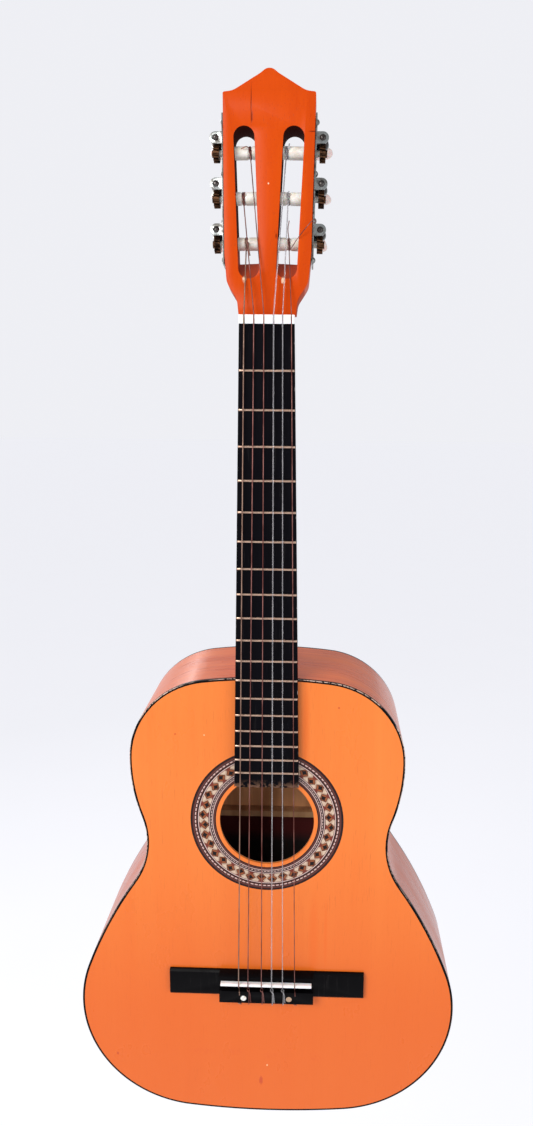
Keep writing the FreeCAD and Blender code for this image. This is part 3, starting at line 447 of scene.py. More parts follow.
def nylon_material():
    """Clear nylon, milky from use."""
    s = Shader("nylon_clear")
    milk = s.noise(s.stretch(300, 300, 30), detail=3)
    color = s.mix(s.span(milk, 0.3, 0.7), (0.60, 0.58, 0.60), (0.78, 0.76, 0.78))
    return s.done(color, s.span(milk, 0.3, 0.7, 0.10, 0.20), Transmission_Weight=0.78, IOR=1.35,
                  Normal=s.bump(milk, 0.00002, 0.3))


# Rosette rings from the inside out: where each starts, as a share of the way out, and its colour
MAROON = (0.036, 0.007, 0.007)
INK = (0.004, 0.002, 0.0025)
PALE = (0.62, 0.42, 0.38)
TAN = (0.110, 0.030, 0.022)
ROSETTE_RINGS = (
    (0.000, INK), (0.040, TAN), (0.075, MAROON), (0.110, PALE), (0.137, INK), (0.172, PALE),
    (0.200, INK), (0.248, PALE), (0.275, INK), (0.300, TAN), (0.655, INK), (0.668, PALE),
    (0.700, INK), (0.752, TAN), (0.785, PALE), (0.825, MAROON), (0.862, TAN), (0.905, MAROON),
    (0.945, INK),
)
MOSAIC = (0.300, 0.655)
MOSAIC_TILES = 36
DASHES = 104


def rosette_material(center, inner, outer):
    """Wood mosaic round the soundhole: stars stepping in and out between cream leaves, and dashed lines."""
    s = Shader("rosette_mosaic", 0.2)
    across = s.minus(s.x, center.x)
    along = s.minus(s.z, center.z)
    radius = s.math("SQRT", s.plus(s.times(across, across), s.times(along, along)))
    out = s.span(radius, inner, outer, smooth=False)
    turn = s.math("DIVIDE", s.math("ARCTAN2", across, along), 2 * math.pi)

    rings = s.ramp(out, ROSETTE_RINGS, constant=True)
    dash = s.math("FRACT", s.times(turn, DASHES))
    gap = s.span(s.size(s.minus(dash, 0.5)), 0.30, 0.36)
    for low, high in ((0.172, 0.200), (0.785, 0.825)):
        inside = s.times(s.math("GREATER_THAN", out, low), s.math("LESS_THAN", out, high))
        rings = s.mix(s.times(inside, gap), rings, MAROON)

    step = s.times(turn, MOSAIC_TILES)
    side = s.minus(s.math("FRACT", step), 0.5)
    parity = s.minus(s.times(s.math("FRACT", s.times(s.math("FLOOR", step), 0.5)), 4.0), 1.0)
    level = s.span(out, *MOSAIC, -1.0, 1.0, smooth=False)
    level = s.times(level, parity)
    wide = s.size(side)

    def diamond(height, half_wide, half_high):
        part = s.size(s.minus(level, height))
        return s.plus(s.math("DIVIDE", wide, half_wide), s.math("DIVIDE", part, half_high))

    cream_grain = s.cloud(900, 2)
    cream = s.mix(cream_grain, (0.38, 0.25, 0.17), (0.72, 0.58, 0.44))
    cross = s.size(s.minus(s.size(level), s.times(s.minus(0.5, wide), 2.4)))
    mosaic = s.mix(s.span(cross, 0.16, 0.12), cream, (0.20, 0.055, 0.030))
    mosaic = s.mix(s.span(cross, 0.055, 0.035), mosaic, (0.80, 0.60, 0.42))
    body = diamond(0.12, 0.47, 1.15)
    mosaic = s.mix(s.span(body, 1.0, 0.97), mosaic, INK)
    mosaic = s.mix(s.span(body, 0.88, 0.85), mosaic, (0.26, 0.070, 0.022))
    foot = diamond(-1.10, 0.36, 0.80)
    mosaic = s.mix(s.span(foot, 1.0, 0.96), mosaic, (0.17, 0.030, 0.018))
    arm = s.plus(s.math("POWER", s.math("DIVIDE", wide, 0.36), 0.72),
                 s.math("POWER", s.math("DIVIDE", s.size(s.minus(level, 0.30)), 0.74), 0.72))
    mosaic = s.mix(s.span(arm, 1.0, 0.93), mosaic, INK)
    band = s.times(s.math("GREATER_THAN", out, MOSAIC[0]), s.math("LESS_THAN", out, MOSAIC[1]))
    color = s.mix(band, rings, mosaic)

    fiber = s.noise(s.stretch(700, 700, 200), detail=3)
    color = s.mix(s.span(fiber, 0.62, 0.8, 0.0, 0.25), color, (0.30, 0.15, 0.09))
    return s.done(color, s.span(fiber, 0.3, 0.7, 0.28, 0.40), Normal=s.bump(fiber, 0.00006, 0.5),
                  Coat_Weight=0.06, Coat_Roughness=0.15)


# ---------------------------------------------------------------- geometry helpers

def link(obj):
    """Put an object in the scene."""
    bpy.context.scene.collection.objects.link(obj)
    return obj


def piece(name, mesh, material, body, slot, *replaced):
    """Put a mesh in the scene as a piece that rides on a body and may stand for CAD nodes."""
    obj = link(bpy.data.objects.new(name, mesh))
    mesh.materials.clear()
    mesh.materials.append(material)
    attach(obj, body)
    if replaced:
        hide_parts(*replaced)
    return obj


def smooth_mesh(name, vertices, faces, sharp=None):
    """Make a mesh with smooth shading, creased where faces meet above an angle."""
    mesh = bpy.data.meshes.new(name)
    mesh.from_pydata([tuple(v) for v in vertices], [], faces)
    bm = bmesh.new()
    bm.from_mesh(mesh)
    bmesh.ops.recalc_face_normals(bm, faces=bm.faces)
    bm.to_mesh(mesh)
    bm.free()
    mesh.polygons.foreach_set("use_smooth", [True] * len(mesh.polygons))
    if sharp is not None:
        mesh.set_sharp_from_angle(angle=math.radians(sharp))
    return mesh


def add_attribute(mesh, name, values, domain="POINT"):
    """Give each vertex or face a number that the materials read."""
    attribute = mesh.attributes.new(name, "FLOAT", domain)
    attribute.data.foreach_set("value", np.array(values, np.float32))


def softened(node, width, segments=2, angle=35):
    """Copy a CAD node's mesh with its sharp edges rounded, and mark the rounding for wear."""
    bm = bmesh.new()
    bm.from_mesh(NODES[node].data)
    bmesh.ops.remove_doubles(bm, verts=bm.verts, dist=1e-6)
    bmesh.ops.dissolve_limit(bm, angle_limit=math.radians(0.5), verts=bm.verts, edges=bm.edges)
    worn = bm.faces.layers.float.new("edge")
    plain = bm.faces.layers.int.new("plain")
    limit = math.radians(angle)
    for face in bm.faces:
        turns = [edge.calc_face_angle(0) for edge in face.edges]
        face[plain] = all(turn > limit or turn < FLAT for turn in turns)
    sharp = [edge for edge in bm.edges
             if len(edge.link_faces) == 2 and edge.calc_face_angle(0) > limit]
    made = bmesh.ops.bevel(bm, geom=sharp, offset=width, segments=segments, profile=0.5,
                           affect="EDGES", clamp_overlap=True)
    for face in made["faces"]:
        face[worn] = 1.0
        face[plain] = 0
    for face in bm.faces:
        face.smooth = not face[plain]
    bmesh.ops.recalc_face_normals(bm, faces=bm.faces)
    mesh = bpy.data.meshes.new(node)
    bm.to_mesh(mesh)
    bm.free()
    mesh.set_sharp_from_angle(angle=math.radians(40))
    return mesh


def through(points, spacing):
    """Give evenly spaced points on a smooth curve through a list of points."""
    points = [Vector(p) for p in points]
    padded = [2 * points[0] - points[1], *points, 2 * points[-1] - points[-2]]
    curve = []
    for before, start, end, after in zip(padded, padded[1:], padded[2:], padded[3:]):
        count = max(2, math.ceil((end - start).length / spacing))
        for index in range(count):
            t = index / count
            curve.append(0.5 * (2 * start + (end - before) * t
                                + (2 * before - 5 * start + 4 * end - after) * t * t
                                + (3 * start - before - 3 * end + after) * t ** 3))
    curve.append(points[-1])
    return curve


def loft_faces(rings, size, first=0):
    """Join rings of vertices by quads and close both ends."""
    faces = []
    for ring in range(rings - 1):
        for side in range(size):
            a, b = first + ring * size + side, first + ring * size + (side + 1) % size
            faces.append((a, b, b + size, a + size))
    faces.append(tuple(range(first, first + size)))
    faces.append(tuple(range(first + (rings - 1) * size, first + rings * size)))
    return faces


def tube_parts(path, radius, sides=12):
    """Give the vertices and faces of a round tube along a path, with rounded ends."""
    last = len(path) - 1
    tangents = [(path[min(i + 1, last)] - path[max(i - 1, 0)]).normalized() for i in range(last + 1)]
    normal = tangents[0].orthogonal().normalized()
    rings = []
    for point, tangent in zip(path, tangents):
        normal = (normal - tangent * normal.dot(tangent)).normalized()
        rings.append((point, normal, tangent.cross(normal), radius))
    head, tail = rings[0], rings[-1]
    rings.insert(0, (path[0] - tangents[0] * radius * 0.6, head[1], head[2], radius * 0.55))
    rings.append((path[-1] + tangents[-1] * radius * 0.6, tail[1], tail[2], radius * 0.55))
    vertices = []
    for point, across, up, size in rings:
        for side in range(sides):
            angle = 2 * math.pi * side / sides
            vertices.append(point + (across * math.cos(angle) + up * math.sin(angle)) * size)
    return vertices, loft_faces(len(rings), sides)


def tube_mesh(name, paths, radius, sides=12):
    """Join tubes along several paths in one mesh."""
    vertices, faces = [], []
    for path in paths:
        more, walls = tube_parts(path, radius, sides)
        faces += [tuple(index + len(vertices) for index in face) for face in walls]
        vertices += more
    return smooth_mesh(name, vertices, faces)


# ---------------------------------------------------------------- the body's outline and bindings

def front_loop(node):
    """Walk the outer edge of a CAD node's front face, from the heel round by the treble side."""
    low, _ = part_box(node)
    bm = bmesh.new()
    bm.from_mesh(NODES[node].data)
    bmesh.ops.remove_doubles(bm, verts=bm.verts, dist=1e-6)
    links = {}
    for edge in bm.edges:
        facing = [abs(face.normal.y) > 0.9 for face in edge.link_faces]
        in_front = all(abs(vertex.co.y - low.y) < 1e-5 for vertex in edge.verts)
        if in_front and sorted(facing) == [False, True]:
            for vertex in edge.verts:
                links.setdefault(vertex.index, []).append(edge.other_vert(vertex).index)
    places = {vertex.index: vertex.co.copy() for vertex in bm.verts}
    bm.free()
    start = max(links, key=lambda index: places[index].z)
    loop = [start]
    step = max(links[start], key=lambda index: places[index].x)
    while step != start:
        loop.append(step)
        step = next(index for index in links[step] if index != loop[-2])
    return [Vector((places[index].x, 0, places[index].z)) for index in loop]


def closed_through(loop, spacing):
    """Give evenly spaced points, and inward directions, round a smooth closed curve through a loop."""
    dense = through([*loop[-2:], *loop, *loop[:3]], spacing / 4)
    start = min(range(len(dense) // 3), key=lambda index: (dense[index] - loop[0]).length)
    end = min(range(2 * len(dense) // 3, len(dense)), key=lambda index: (dense[index] - loop[0]).length)
    dense = dense[start:end + 1]
    lengths = np.concatenate([[0], np.cumsum([(b - a).length for a, b in zip(dense, dense[1:])])])
    count = round(lengths[-1] / spacing)
    stations = np.linspace(0, lengths[-1], count, endpoint=False)
    xs = np.interp(stations, lengths, [point.x for point in dense])
    zs = np.interp(stations, lengths, [point.z for point in dense])
    points = [Vector((x, 0, z)) for x, z in zip(xs, zs)]
    inward = []
    for index, point in enumerate(points):
        ahead, behind = points[(index + 1) % count], points[index - 1]
        along = (ahead - behind).normalized()
        inward.append(Vector((along.z, 0, -along.x)))
    middle = Vector((0, 0, sum(zs) / count))
    if inward[0].dot(middle - points[0]) < 0:
        inward = [-direction for direction in inward]
    return points, inward


def swept_band(name, points, inward, profile, closed=True):
    """Sweep a closed profile of (inset, depth) round the outline."""
    vertices, faces = [], []
    count, size = len(points), len(profile)
    for point, direction in zip(points, inward):
        for inset, depth in profile:
            vertices.append(point + direction * inset + Vector((0, depth, 0)))
    for ring in range(count if closed else count - 1):
        for side in range(size):
            a, b = ring * size + side, ring * size + (side + 1) % size
            c, d = ((ring + 1) % count) * size + (side + 1) % size, ((ring + 1) % count) * size + side
            faces.append((a, b, c, d))
    if not closed:
        faces.append(tuple(range(size)))
        faces.append(tuple(range((count - 1) * size, count * size)))
    return smooth_mesh(name, vertices, faces, sharp=50)


def body_outline():
    """Give the outline's points and inward directions, from the heel's centre round by the treble side."""
    points, inward = closed_through(front_loop("front_binding"), 2.0 * MM)
    top = [index for index, point in enumerate(points) if point.z > -0.32]
    first = min(top, key=lambda index: abs(points[index].x))
    points, inward = points[first:] + points[:first], inward[first:] + inward[:first]
    points[0].x = 0
    return points, inward


def make_bindings(black, points, inward):
    """Sweep both bindings with a rounded, worn corner."""
    corner = 0.6 * MM
    steps = 3
    turns = [math.pi / 2 * k / steps for k in range(steps + 1)]
    arc = [(corner * (1 - math.sin(turn)), corner * (1 - math.cos(turn))) for turn in turns]
    for node in ("front_binding", "back_binding"):
        low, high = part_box(node)
        profile = [(BINDING_WIDTH, 0.0), *arc, (0.0, high.y - low.y), (BINDING_WIDTH, high.y - low.y)]
        if node == "front_binding":
            places = [(inset, low.y + depth) for inset, depth in profile]
        else:
            places = [(inset, high.y - depth) for inset, depth in profile]
        mesh = swept_band(node, points, inward, places)
        edge = [1.0 if 1 <= index % len(places) <= steps else 0.0 for index in range(len(mesh.polygons))]
        add_attribute(mesh, "edge", edge, "FACE")
        piece(node + "_band", mesh, black, "root", "binding_black", node)


def make_ribs(material, points, inward):
    """Bend each rib from the heel to the tail, bare inside and marked with its length for the grain."""
    tail = min(range(len(points)), key=lambda index: (points[index].z > -0.6, abs(points[index].x)))
    spans = {"treble_side": (points[:tail + 1], inward[:tail + 1]),
             "bass_side": (points[tail:] + points[:1], inward[tail:] + inward[:1])}
    for node, (places, normals) in spans.items():
        places = [place.copy() for place in places]
        places[0].x = places[-1].x = 0
        low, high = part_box(node)
        rows = [low.y + (high.y - low.y) * row / 6 for row in range(7)]
        profile = [(0.0, y) for y in rows] + [(RIB_THICKNESS, y) for y in reversed(rows)]
        mesh = swept_band(node, places, normals, profile, closed=False)
        lengths = [0.0]
        for before, after in zip(places, places[1:]):
            lengths.append(lengths[-1] + (after - before).length)
        add_attribute(mesh, "arc", [length for length in lengths for _ in profile])
        walls = len(profile) * (len(places) - 1)
        inside = [1.0 if index % len(profile) >= len(rows) - 1 and index < walls else 0.0
                  for index in range(len(mesh.polygons))]
        add_attribute(mesh, "inside", inside, "FACE")
        piece(node + "_rib", mesh, material, "root", "rib_wood", node)


# ---------------------------------------------------------------- fingerboard and frets

def make_fingerboard(material):
    """Loft the fingerboard with softened edges and a chewed end over the soundhole."""
    low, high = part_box("fingerboard")
    nut_half = (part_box("nut")[1].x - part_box("nut")[0].x) / 2
    end_half = (high.x - low.x) / 2
    length = high.z - low.z
    rows, columns = 150, 40
    rim = 0.5 * MM
    rows_z = [high.z - length * (row / rows) for row in range(rows + 1)]
    vertices, chips, edges = [], [], []

    def outline(half, front, back):
        top = [(-half + 2 * half * i / columns, front) for i in range(columns + 1)]
        top[0] = (-half, front + rim)
        top[-1] = (half, front + rim)
        top.insert(1, (-half + rim * 0.3, front + rim * 0.3))
        top.insert(2, (-half + rim, front))
        top.insert(-1, (half - rim, front))
        top.insert(-1, (half - rim * 0.3, front + rim * 0.3))
        return top + [(half, back), (-half, back)]

    for row, z in enumerate(rows_z):
        share = (high.z - z) / length
        half = nut_half + (end_half - nut_half) * share
        for x, y in outline(half, low.y, high.y):
            near_end = max(0.0, 1 - (z - low.z) / (7 * MM))
            ragged = 0.0
            if row == rows and y < high.y:
                ragged = 1.1 * MM * abs(math.sin(x * 430) * math.sin(x * 173 + 1))
                ragged += 0.5 * MM * random.random()
            dip = 0.35 * MM * near_end * random.random() if y < high.y and abs(x) < half - rim else 0.0
            vertices.append(Vector((x, y + dip, z + ragged)))
            chips.append(near_end)
            edges.append(1.0 if abs(x) > half - rim * 0.5 and y < high.y else 0.0)
    size = len(vertices) // (rows + 1)
    mesh = smooth_mesh("fingerboard", vertices, loft_faces(rows + 1, size), sharp=40)
    add_attribute(mesh, "chip", chips)
    add_attribute(mesh, "edge", edges)
    piece("fingerboard_black", mesh, material, "root", "black_wood", "fingerboard")


def make_frets(material):
    """Make each fret as a half-round crown whose ends are filed to a slant."""
    bm = bmesh.new()
    bm.from_mesh(NODES["frets"].data)
    bmesh.ops.remove_doubles(bm, verts=bm.verts, dist=1e-6)
    centers = {}
    for vertex in bm.verts:
        if abs(vertex.co.y) < 1e-5:
            centers.setdefault(round(vertex.co.z, 4), []).append(vertex.co.x)
    bm.free()
    crown_half, crown, foot = 0.95 * MM, 1.0 * MM, 0.25 * MM
    steps = 10
    vertices, faces = [], []
    for z, xs in centers.items():
        half = max(xs)
        stations = [(-half, 0.25), (-half + 0.25 * MM, 0.6), (-half + 0.8 * MM, 1.0)]
        stations += [(x, 1.0) for x in np.linspace(-half + 4 * MM, half - 4 * MM, 9)]
        stations += [(half - 0.8 * MM, 1.0), (half - 0.25 * MM, 0.6), (half, 0.25)]
        first = len(vertices)
        size = steps + 3
        for x, share in stations:
            lean = 0.03 * MM * math.sin(x * 90 + z * 50)
            for k in range(steps + 1):
                angle = math.pi * k / steps
                vertices.append(Vector((x, crown - crown * share * math.sin(angle) ** 0.8,
                                        z + lean + crown_half * math.cos(angle))))
            vertices.append(Vector((x, crown + foot, z + lean - crown_half)))
            vertices.append(Vector((x, crown + foot, z + lean + crown_half)))
        faces += loft_faces(len(stations), size, first)
    mesh = smooth_mesh("frets", vertices, faces, sharp=45)
    piece("frets_crowned", mesh, material, "root", "fret_metal", "frets")


# ---------------------------------------------------------------- machine heads

def joint_frame(name):
    """Give a hinge's point and axis."""
    joint = JOINTS[name]
    return Vector(joint["pos_m"]), Vector(joint["axis"]).normalized()


# Sections of a button along its shaft: distance from its foot, half width and half thickness (mm)
BUTTON_SECTIONS = (
    (0.0, 3.1, 3.1), (0.5, 3.4, 3.4), (2.6, 3.4, 3.4), (3.4, 3.0, 3.0), (4.6, 2.9, 2.7), (6.4, 3.9, 2.8),
    (8.6, 5.9, 3.1), (11.0, 7.4, 3.45), (13.5, 8.0, 3.65), (16.0, 7.9, 3.6), (18.4, 7.0, 3.2),
    (20.2, 5.2, 2.5), (21.2, 3.0, 1.5), (21.5, 0.9, 0.5),
)


def make_button(name, material):
    """Loft a paddle button on its worm's shaft, turned as its CAD node is."""
    point, axis = joint_frame(f"button_{name}_spin")
    node = NODES[f"button_{name}"]
    co = np.array([v.co for v in node.data.vertices])
    offset = co - np.array(point)
    along = offset @ np.array(axis)
    flat = offset - np.outer(along, np.array(axis))
    _, vectors = np.linalg.eigh(flat.T @ flat)
    across = Vector(vectors[:, 2]).normalized()
    thick = axis.cross(across).normalized()
    foot = point + axis * float(along.min())
    sides = 40
    vertices, grime = [], []
    for reach, half, thin in BUTTON_SECTIONS:
        power = 1.0 if reach < 5 else 0.82
        for k in range(sides):
            angle = 2 * math.pi * k / sides
            cos, sin = math.cos(angle), math.sin(angle)
            u = math.copysign(abs(cos) ** power, cos) * half * MM
            v = math.copysign(abs(sin) ** power, sin) * thin * MM
            vertices.append(foot + axis * reach * MM + across * u + thick * v)
            # the dark band: darker on the narrow stem just past the collar
            grime.append(1.0 if 3 < reach < 5 else 0.15)
    mesh = smooth_mesh(f"button_{name}", vertices, loft_faces(len(BUTTON_SECTIONS), sides), sharp=60)
    add_attribute(mesh, "grime", grime)
    node = f"button_{name}"
    obj = piece(f"{node}_paddle", mesh, material, node, "button_plastic", node)
    rounder = obj.modifiers.new("round", "SUBSURF")
    rounder.levels = rounder.render_levels = 1


def roller_axes(name):
    """Give a roller's axis point under its string, its axis, and the directions to its front and up."""
    point, axis = joint_frame(f"roller_{name}_spin")
    low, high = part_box(f"string_turns_{name}")
    point = point + axis * ((low + high) / 2 - point).dot(axis)
    head_rise = Vector((0, math.sin(HEAD_LEAN), math.cos(HEAD_LEAN)))
    up = (head_rise - axis * head_rise.dot(axis)).normalized()
    front = axis.cross(up)
    if front.y > 0:
        front = -front
    return point, axis, front, up


# Loose ends past each coil, from its last turn: across (towards the treble), out from the roller's
# face and up, in mm
TAILS = {
    "low_e": ((0.6, 5.9, -1.5), (0.9, 6.6, -6.0), (1.6, 6.0, -10.5)),
    "a": ((0.3, 5.6, 1.0), (0.5, 6.0, 3.0)),
    "d": ((-0.8, 6.2, 0.8), (-3.6, 7.2, 2.2), (-7.2, 6.4, 1.0)),
    "g": ((0.6, 5.9, 2.0), (0.9, 6.4, 4.6)),
    "b": ((-0.4, 5.8, 1.4), (-0.6, 6.3, 3.6)),
    "high_e": ((-0.6, 6.3, 2.0), (-1.6, 7.0, 9.0), (-0.9, 6.6, 16.0)),
}


GROOVE_FLOOR = 4.25  # mm, the roller's radius where its string winds


def make_coil(name, diameter, material, slot):
    """Wind the string round its roller and leave its end loose."""
    point, axis, front, up = roller_axes(name)
    treble = axis if axis.x > 0 else -axis
    radius = GROOVE_FLOOR * MM + diameter / 2
    turns = 2.0
    steps = 28
    path = []
    pitch = diameter * 1.04
    for k in range(int(turns * steps) + 1):
        angle = 2 * math.pi * k / steps
        shift = (k / steps - turns / 2) * pitch
        path.append(point + treble * shift + (front * math.cos(angle) + up * math.sin(angle)) * radius)
    landing = path[0]
    tail = [point + treble * (shift + x * MM) + front * out * MM + up * rise * MM
            for x, out, rise in TAILS[name]]
    tail = through([path[-2], path[-1], *tail], 0.8 * MM)[2:]
    mesh = tube_mesh(f"turns_{name}", [path + tail], diameter / 2, 10)
    piece(f"turns_{name}", mesh, material, f"roller_{name}", slot, f"string_turns_{name}")
    return landing


def make_roller(name, material):
    """Turn a roller on its axis, with the groove that its string has worn where it winds."""
    point, axis = joint_frame(f"roller_{name}_spin")
    low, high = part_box(f"string_turns_{name}")
    middle = ((low + high) / 2 - point).dot(axis)
    outward = -1 if middle > 0 else 1
    reach = abs(middle) / MM
    stations = [(-8.5, 0.0), (-8.5, 1.8), (-8.3, 2.0), (-3.9, 2.0), (-3.9, 2.5), (0.0, 2.5)]
    stations += [(0.0, 4.7), (0.3, 5.0)]
    stations += [(reach - 2.7, 5.0), (reach - 2.2, 4.95), (reach - 1.3, 4.4), (reach - 0.9, GROOVE_FLOOR)]
    stations += [(reach + 0.9, GROOVE_FLOOR), (reach + 1.3, 4.4), (reach + 2.2, 4.95), (reach + 2.7, 5.0)]
    stations += [(31.1, 5.0), (31.4, 4.7), (31.4, 0.0)]
    across = axis.orthogonal().normalized()
    other = axis.cross(across)
    sides = 48
    vertices, grime = [], []
    for along, radius in stations:
        for k in range(sides):
            angle = 2 * math.pi * k / sides
            spoke = across * math.cos(angle) + other * math.sin(angle)
            vertices.append(point - axis * (outward * along * MM) + spoke * max(radius, 0.02) * MM)
            # the dark band: darker in the string groove
            grime.append(0.9 if abs(along - reach) < 1.2 else 0.12)
    mesh = smooth_mesh(f"roller_{name}", vertices, loft_faces(len(stations), sides), sharp=38)
    add_attribute(mesh, "grime", grime)
    node = f"roller_{name}"
    piece(f"{node}_turned", mesh, material, node, "roller_plastic", node)


# A string's tie at the bridge, from the back of its hole: across, height over the block's top and
# distance behind the block's front edge, in mm
WRAP = ((0.0, -3.5, 11.7), (0.0, -3.2, 12.9), (0.3, -0.6, 13.1), (0.5, 0.1, 11.8), (0.6, 0.0, 6.0),
        (0.7, 0.1, 0.6), (0.9, -0.6, -1.1), (0.9, -2.4, -1.5), (0.0, -3.2, -1.9), (-1.1, -2.0, -2.0),
        (-1.0, -0.2, -1.7), (0.0, 0.5, -1.1), (1.2, 0.5, 0.2), (1.7, 0.3, 2.6), (1.9, 0.1, 6.5),
        (2.2, 0.2, 10.4))
KNOT = ((0.0, -3.5, 11.7), (0.0, -3.3, 12.9), (0.9, -2.6, 13.4), (0.7, -1.6, 13.6), (-0.7, -1.8, 13.5),
        (-0.9, -3.0, 13.6), (0.1, -3.9, 13.8), (1.2, -3.0, 14.2), (1.6, -1.8, 14.6))
STUB = ((0.1, -1.4, -1.0), (0.3, 0.2, -0.2), (0.4, 0.7, 1.2), (0.4, 0.5, 3.0))
BLOCK_FRONT = -592.5 * MM
BLOCK_TOP = -1.0 * MM


def make_tie(name, diameter, material, slot):
    """Tie a string at the bridge: wrapped over the block, or knotted behind it with a stub in front."""
    co = np.array([v.co for v in NODES[f"string_{name}"].data.vertices])
    hole_x = float(co[co[:, 2] < co[:, 2].min() + 1 * MM][:, 0].mean())
    paths = (KNOT, STUB) if name in ("low_e", "high_e") else (WRAP,)
    tubes = []
    for path in paths:
        points = [(hole_x + x * MM, BLOCK_TOP - diameter / 2 - rise * MM, BLOCK_FRONT - back * MM)
                  for x, rise, back in path]
        tubes.append(through(points, 0.5 * MM))
    piece(f"tie_{name}", tube_mesh(f"tie_{name}", tubes, diameter * 0.46, 10), material, "root", slot)


# The first string's long loose end, caught across the head's edge, from its roller (mm)
LONG_END = ((16.9, 17.6, 61.4), (18.6, 16.6, 61.8), (22.0, 14.5, 66.5), (27.0, 12.2, 72.4),
            (31.5, 10.6, 77.4), (34.6, 10.2, 80.6), (36.2, 10.8, 81.2), (37.0, 12.4, 80.4),
            (36.4, 13.2, 79.2), (35.4, 12.6, 79.4))


def make_long_end(material):
    """Lead the long loose end from its roller to the head's edge, where it stays as the roller turns."""
    path = through([tuple(value * MM for value in point) for point in LONG_END], 0.8 * MM)
    mesh = tube_mesh("long_end", [path], 0.33 * MM, 10)
    obj = link(bpy.data.objects.new("string_end_high_e", mesh))
    mesh.materials.append(material)
    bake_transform(obj)


def string_end(node):
    """Give a CAD string's upper end and its diameter."""
    co = np.array([v.co for v in NODES[node].data.vertices])
    top = co[:, 2].max()
    ring = co[co[:, 2] > top - 0.35 * MM]
    return Vector(ring.mean(0)), float(np.ptp(ring[:, 0]))


def make_string_links(name, landing, material, slot):
    """Carry a string from its CAD end to its roller's first turn."""
    center, diameter = string_end(f"string_{name}")
    _, _, front, _ = roller_axes(name)
    path = through([center, (center + landing) / 2 + front * 0.05 * MM, landing], 0.6 * MM)
    piece(f"lead_{name}", tube_mesh(f"lead_{name}", [path], diameter / 2, 12), material, "root", slot)


# ---------------------------------------------------------------- stage, light and camera

def add_light(name, place, target, size, power, color):
    """Add a square area light aimed at a point."""
    data = bpy.data.lights.new(name, "AREA")
    data.size = size
    data.energy = power
    data.color = color
    lamp = bpy.data.objects.new(name, data)
    lamp.location = place
    lamp.rotation_mode = "QUATERNION"
    lamp.rotation_quaternion = (Vector(target) - Vector(place)).to_track_quat("-Z", "Y")
    link(lamp)


def make_stage():
    """Make the pale floor below the hanging guitar, the soft lights and the world's even light."""
    low, high = CAD_BOX
    s = Shader("floor_pale")
    cloud = s.cloud(3, 4)
    material = s.done(s.mix(cloud, (0.40, 0.402, 0.42), (0.42, 0.421, 0.44)), 0.9,
                      Normal=s.bump(s.cloud(160), 0.0004, 0.2),
                      Emission_Color=SKY, Emission_Strength=0.66)
    drop, reach = 1.3, 30.0
    level = low.z - drop
    corners = [(x * reach, y * reach, level) for x, y in ((-1, -1), (1, -1), (1, 1), (-1, 1))]
    mesh = bpy.data.meshes.new("floor")
    mesh.from_pydata(corners, [], [(0, 1, 2, 3)])
    mesh.materials.append(material)
    floor = link(bpy.data.objects.new("floor", mesh))
    middle = (low + high) / 2
    add_light("key", (-1.6, -2.2, 1.2), middle, 1.6, 78, (1.0, 0.99, 0.97))
    add_light("fill", (1.9, -1.6, 0.1), middle, 1.6, 16, (0.96, 0.97, 1.0))
    add_light("back", (-1.5, 2.3, 1.0), middle, 1.6, 30, (1.0, 0.98, 0.98))
    world = bpy.data.worlds.new("studio")
    world.use_nodes = True
    background = world.node_tree.nodes["Background"]
    path = world.node_tree.nodes.new("ShaderNodeLightPath")
    strength = world.node_tree.nodes.new("ShaderNodeMapRange")
    world.node_tree.links.new(path.outputs["Is Camera Ray"], strength.inputs[0])
    strength.inputs[3].default_value, strength.inputs[4].default_value = 0.56, 0.92
    background.inputs["Color"].default_value = SKY
    world.node_tree.links.new(strength.outputs[0], background.inputs["Strength"])
    bpy.context.scene.world = world


def make_camera():
    """Stand the camera in front of the neck, a little to the treble side, looking down the body."""
    eye = Vector((46.7, -677.0, -43.6)) * MM
    yaw, pitch, roll = (math.radians(angle) for angle in (1.67, -11.95, -0.50))
    turn = Matrix.Rotation(yaw, 3, "Z") @ Matrix.Rotation(pitch, 3, "X") @ Matrix.Rotation(roll, 3, "Y")
    right, forward, up = turn.col
    data = bpy.data.cameras.new("camera")
    data.sensor_width = 36
    data.lens = 26.86
    data.shift_x = -0.0289
    data.clip_start, data.clip_end = 0.01, 60
    camera = bpy.data.objects.new("camera", data)
    basis = Matrix((right, up, -forward)).transposed()
    camera.matrix_world = Matrix.Translation(eye) @ basis.to_4x4()
    link(camera)
    bpy.context.scene.camera = camera
    bpy.context.scene.view_settings.view_transform = "Standard"


# ---------------------------------------------------------------- assembly

def dress(material, *names):
    """Give CAD nodes a material."""
    for name in names:
        mesh = NODES[name].data
        mesh.materials.clear()
        mesh.materials.append(material)


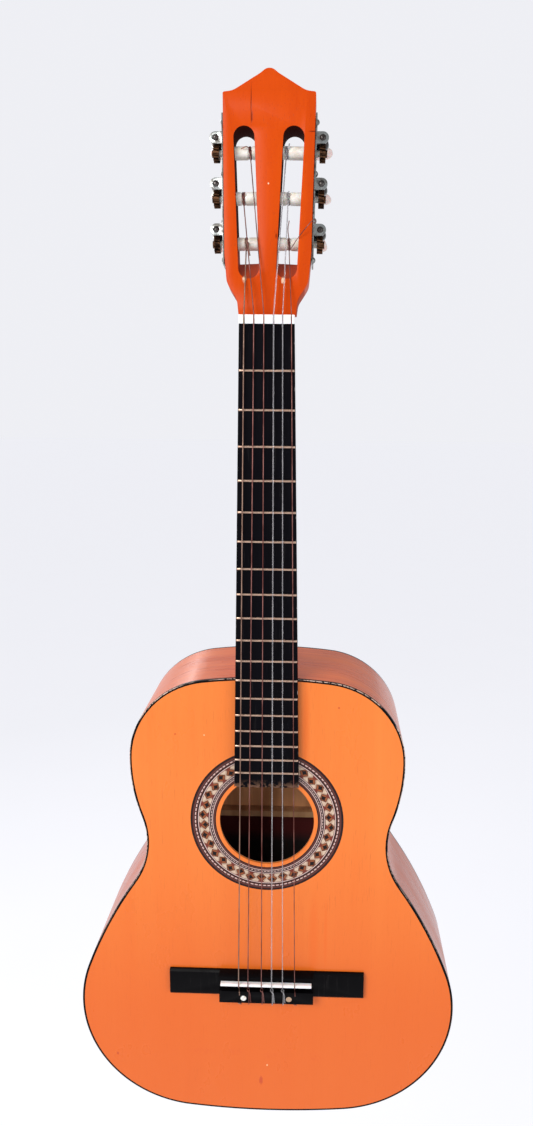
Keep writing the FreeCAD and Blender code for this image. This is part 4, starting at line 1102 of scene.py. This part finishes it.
def main():
    """Dress the frame, replace the nodes that need finer shapes and set the scene."""
    make_camera()
    make_stage()
    bare = bare_material()
    board_black = black_wood_material("fingerboard_wood", 0.002)
    bridge_black = black_wood_material("bridge_wood", 0.0)
    ribs = rib_material()
    neck_wood = neck_material("neck_varnish", flaws=False)
    head_wood = neck_material("head_varnish", flaws=True)
    ivory = plastic_material("nut_plastic", (0.90, 0.90, 0.90), (0.80, 0.79, 0.78), 0.30)
    pearl = plastic_material("inlay_pearl", (0.88, 0.88, 0.86), (0.58, 0.48, 0.40), 0.18, 3.0,
                             treble_stain=(0.42, 0.27, 0.17))
    roller_white = plastic_material("roller_plastic", (0.88, 0.84, 0.78), (0.74, 0.66, 0.56), 0.40)
    button_white = plastic_material("button_plastic", (0.84, 0.72, 0.67), (0.74, 0.56, 0.49),
                                    0.22, 2.0, 0.2)
    steel = metal_material("tuner_steel", (0.36, 0.38, 0.37), (0.10, 0.09, 0.08), 0.24, 0.9)
    worm_steel = metal_material("worm_steel", (0.10, 0.09, 0.085), (0.02, 0.016, 0.015), 0.30, 0.9)
    brass = metal_material("gear_brass", (0.13, 0.062, 0.030), (0.018, 0.010, 0.008), 0.36, 1.0)
    fret_metal = metal_material("fret_metal", (0.58, 0.40, 0.30), (0.36, 0.22, 0.16), 0.28, 0.6,
                                (60, 900, 900))
    bronze = wound_material("wound_bronze", (0.30, 0.13, 0.11), (0.13, 0.040, 0.034))
    silver = wound_material("wound_silver", (0.32, 0.20, 0.15), (0.20, 0.11, 0.08))
    nylon = nylon_material()

    dress(soundboard_material(), "soundboard")
    hole_low, hole_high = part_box("rosette")
    center = (hole_low + hole_high) / 2
    outer = (hole_high.x - hole_low.x) / 2
    radii = [math.hypot(v.co.x - center.x, v.co.z - center.z) for v in NODES["rosette"].data.vertices]
    dress(rosette_material(center, min(radii), outer), "rosette")
    dress(back_material(), "back_panel")
    dress(bare, "neck_block", "tail_block", "linings", "soundboard_braces", "back_braces")
    dress(neck_wood, "neck", "heel_cap")
    dress(steel, "plate_screws")

    points, inward = body_outline()
    make_bindings(binding_material(), points, inward)
    make_ribs(ribs, points, inward)
    make_fingerboard(board_black)
    make_frets(fret_metal)
    for node, material, width, slot in (
        ("headstock", head_wood, 0.6 * MM, "neck_wood"),
        ("bridge", bridge_black, 0.45 * MM, "black_wood"),
        ("nut", ivory, 0.25 * MM, "white_plastic"),
        ("saddle", ivory, 0.3 * MM, "white_plastic"),
        ("bridge_inlays", pearl, 0.15 * MM, "pearl"),
        ("tuner_plate_bass", steel, 0.25 * MM, "tuner_steel"),
        ("tuner_plate_treble", steel, 0.25 * MM, "tuner_steel"),
    ):
        piece(f"{node}_soft", softened(node, width), material, "root", slot, node)
    for name in STRINGS:
        wound = name in WOUND
        material = {"low_e": silver, "a": bronze, "d": bronze, "high_e": bronze}.get(name, nylon)
        slot = "wound_string" if wound else "nylon_string"
        dress(material, f"string_{name}")
        dress(brass, f"gear_{name}")
        dress(worm_steel, f"worm_{name}")
        make_roller(name, roller_white)
        make_button(name, button_white)
        _, diameter = string_end(f"string_{name}")
        landing = make_coil(name, diameter, material, slot)
        make_string_links(name, landing, material, slot)
        make_tie(name, diameter, material, slot)
    make_long_end(bronze)


main()
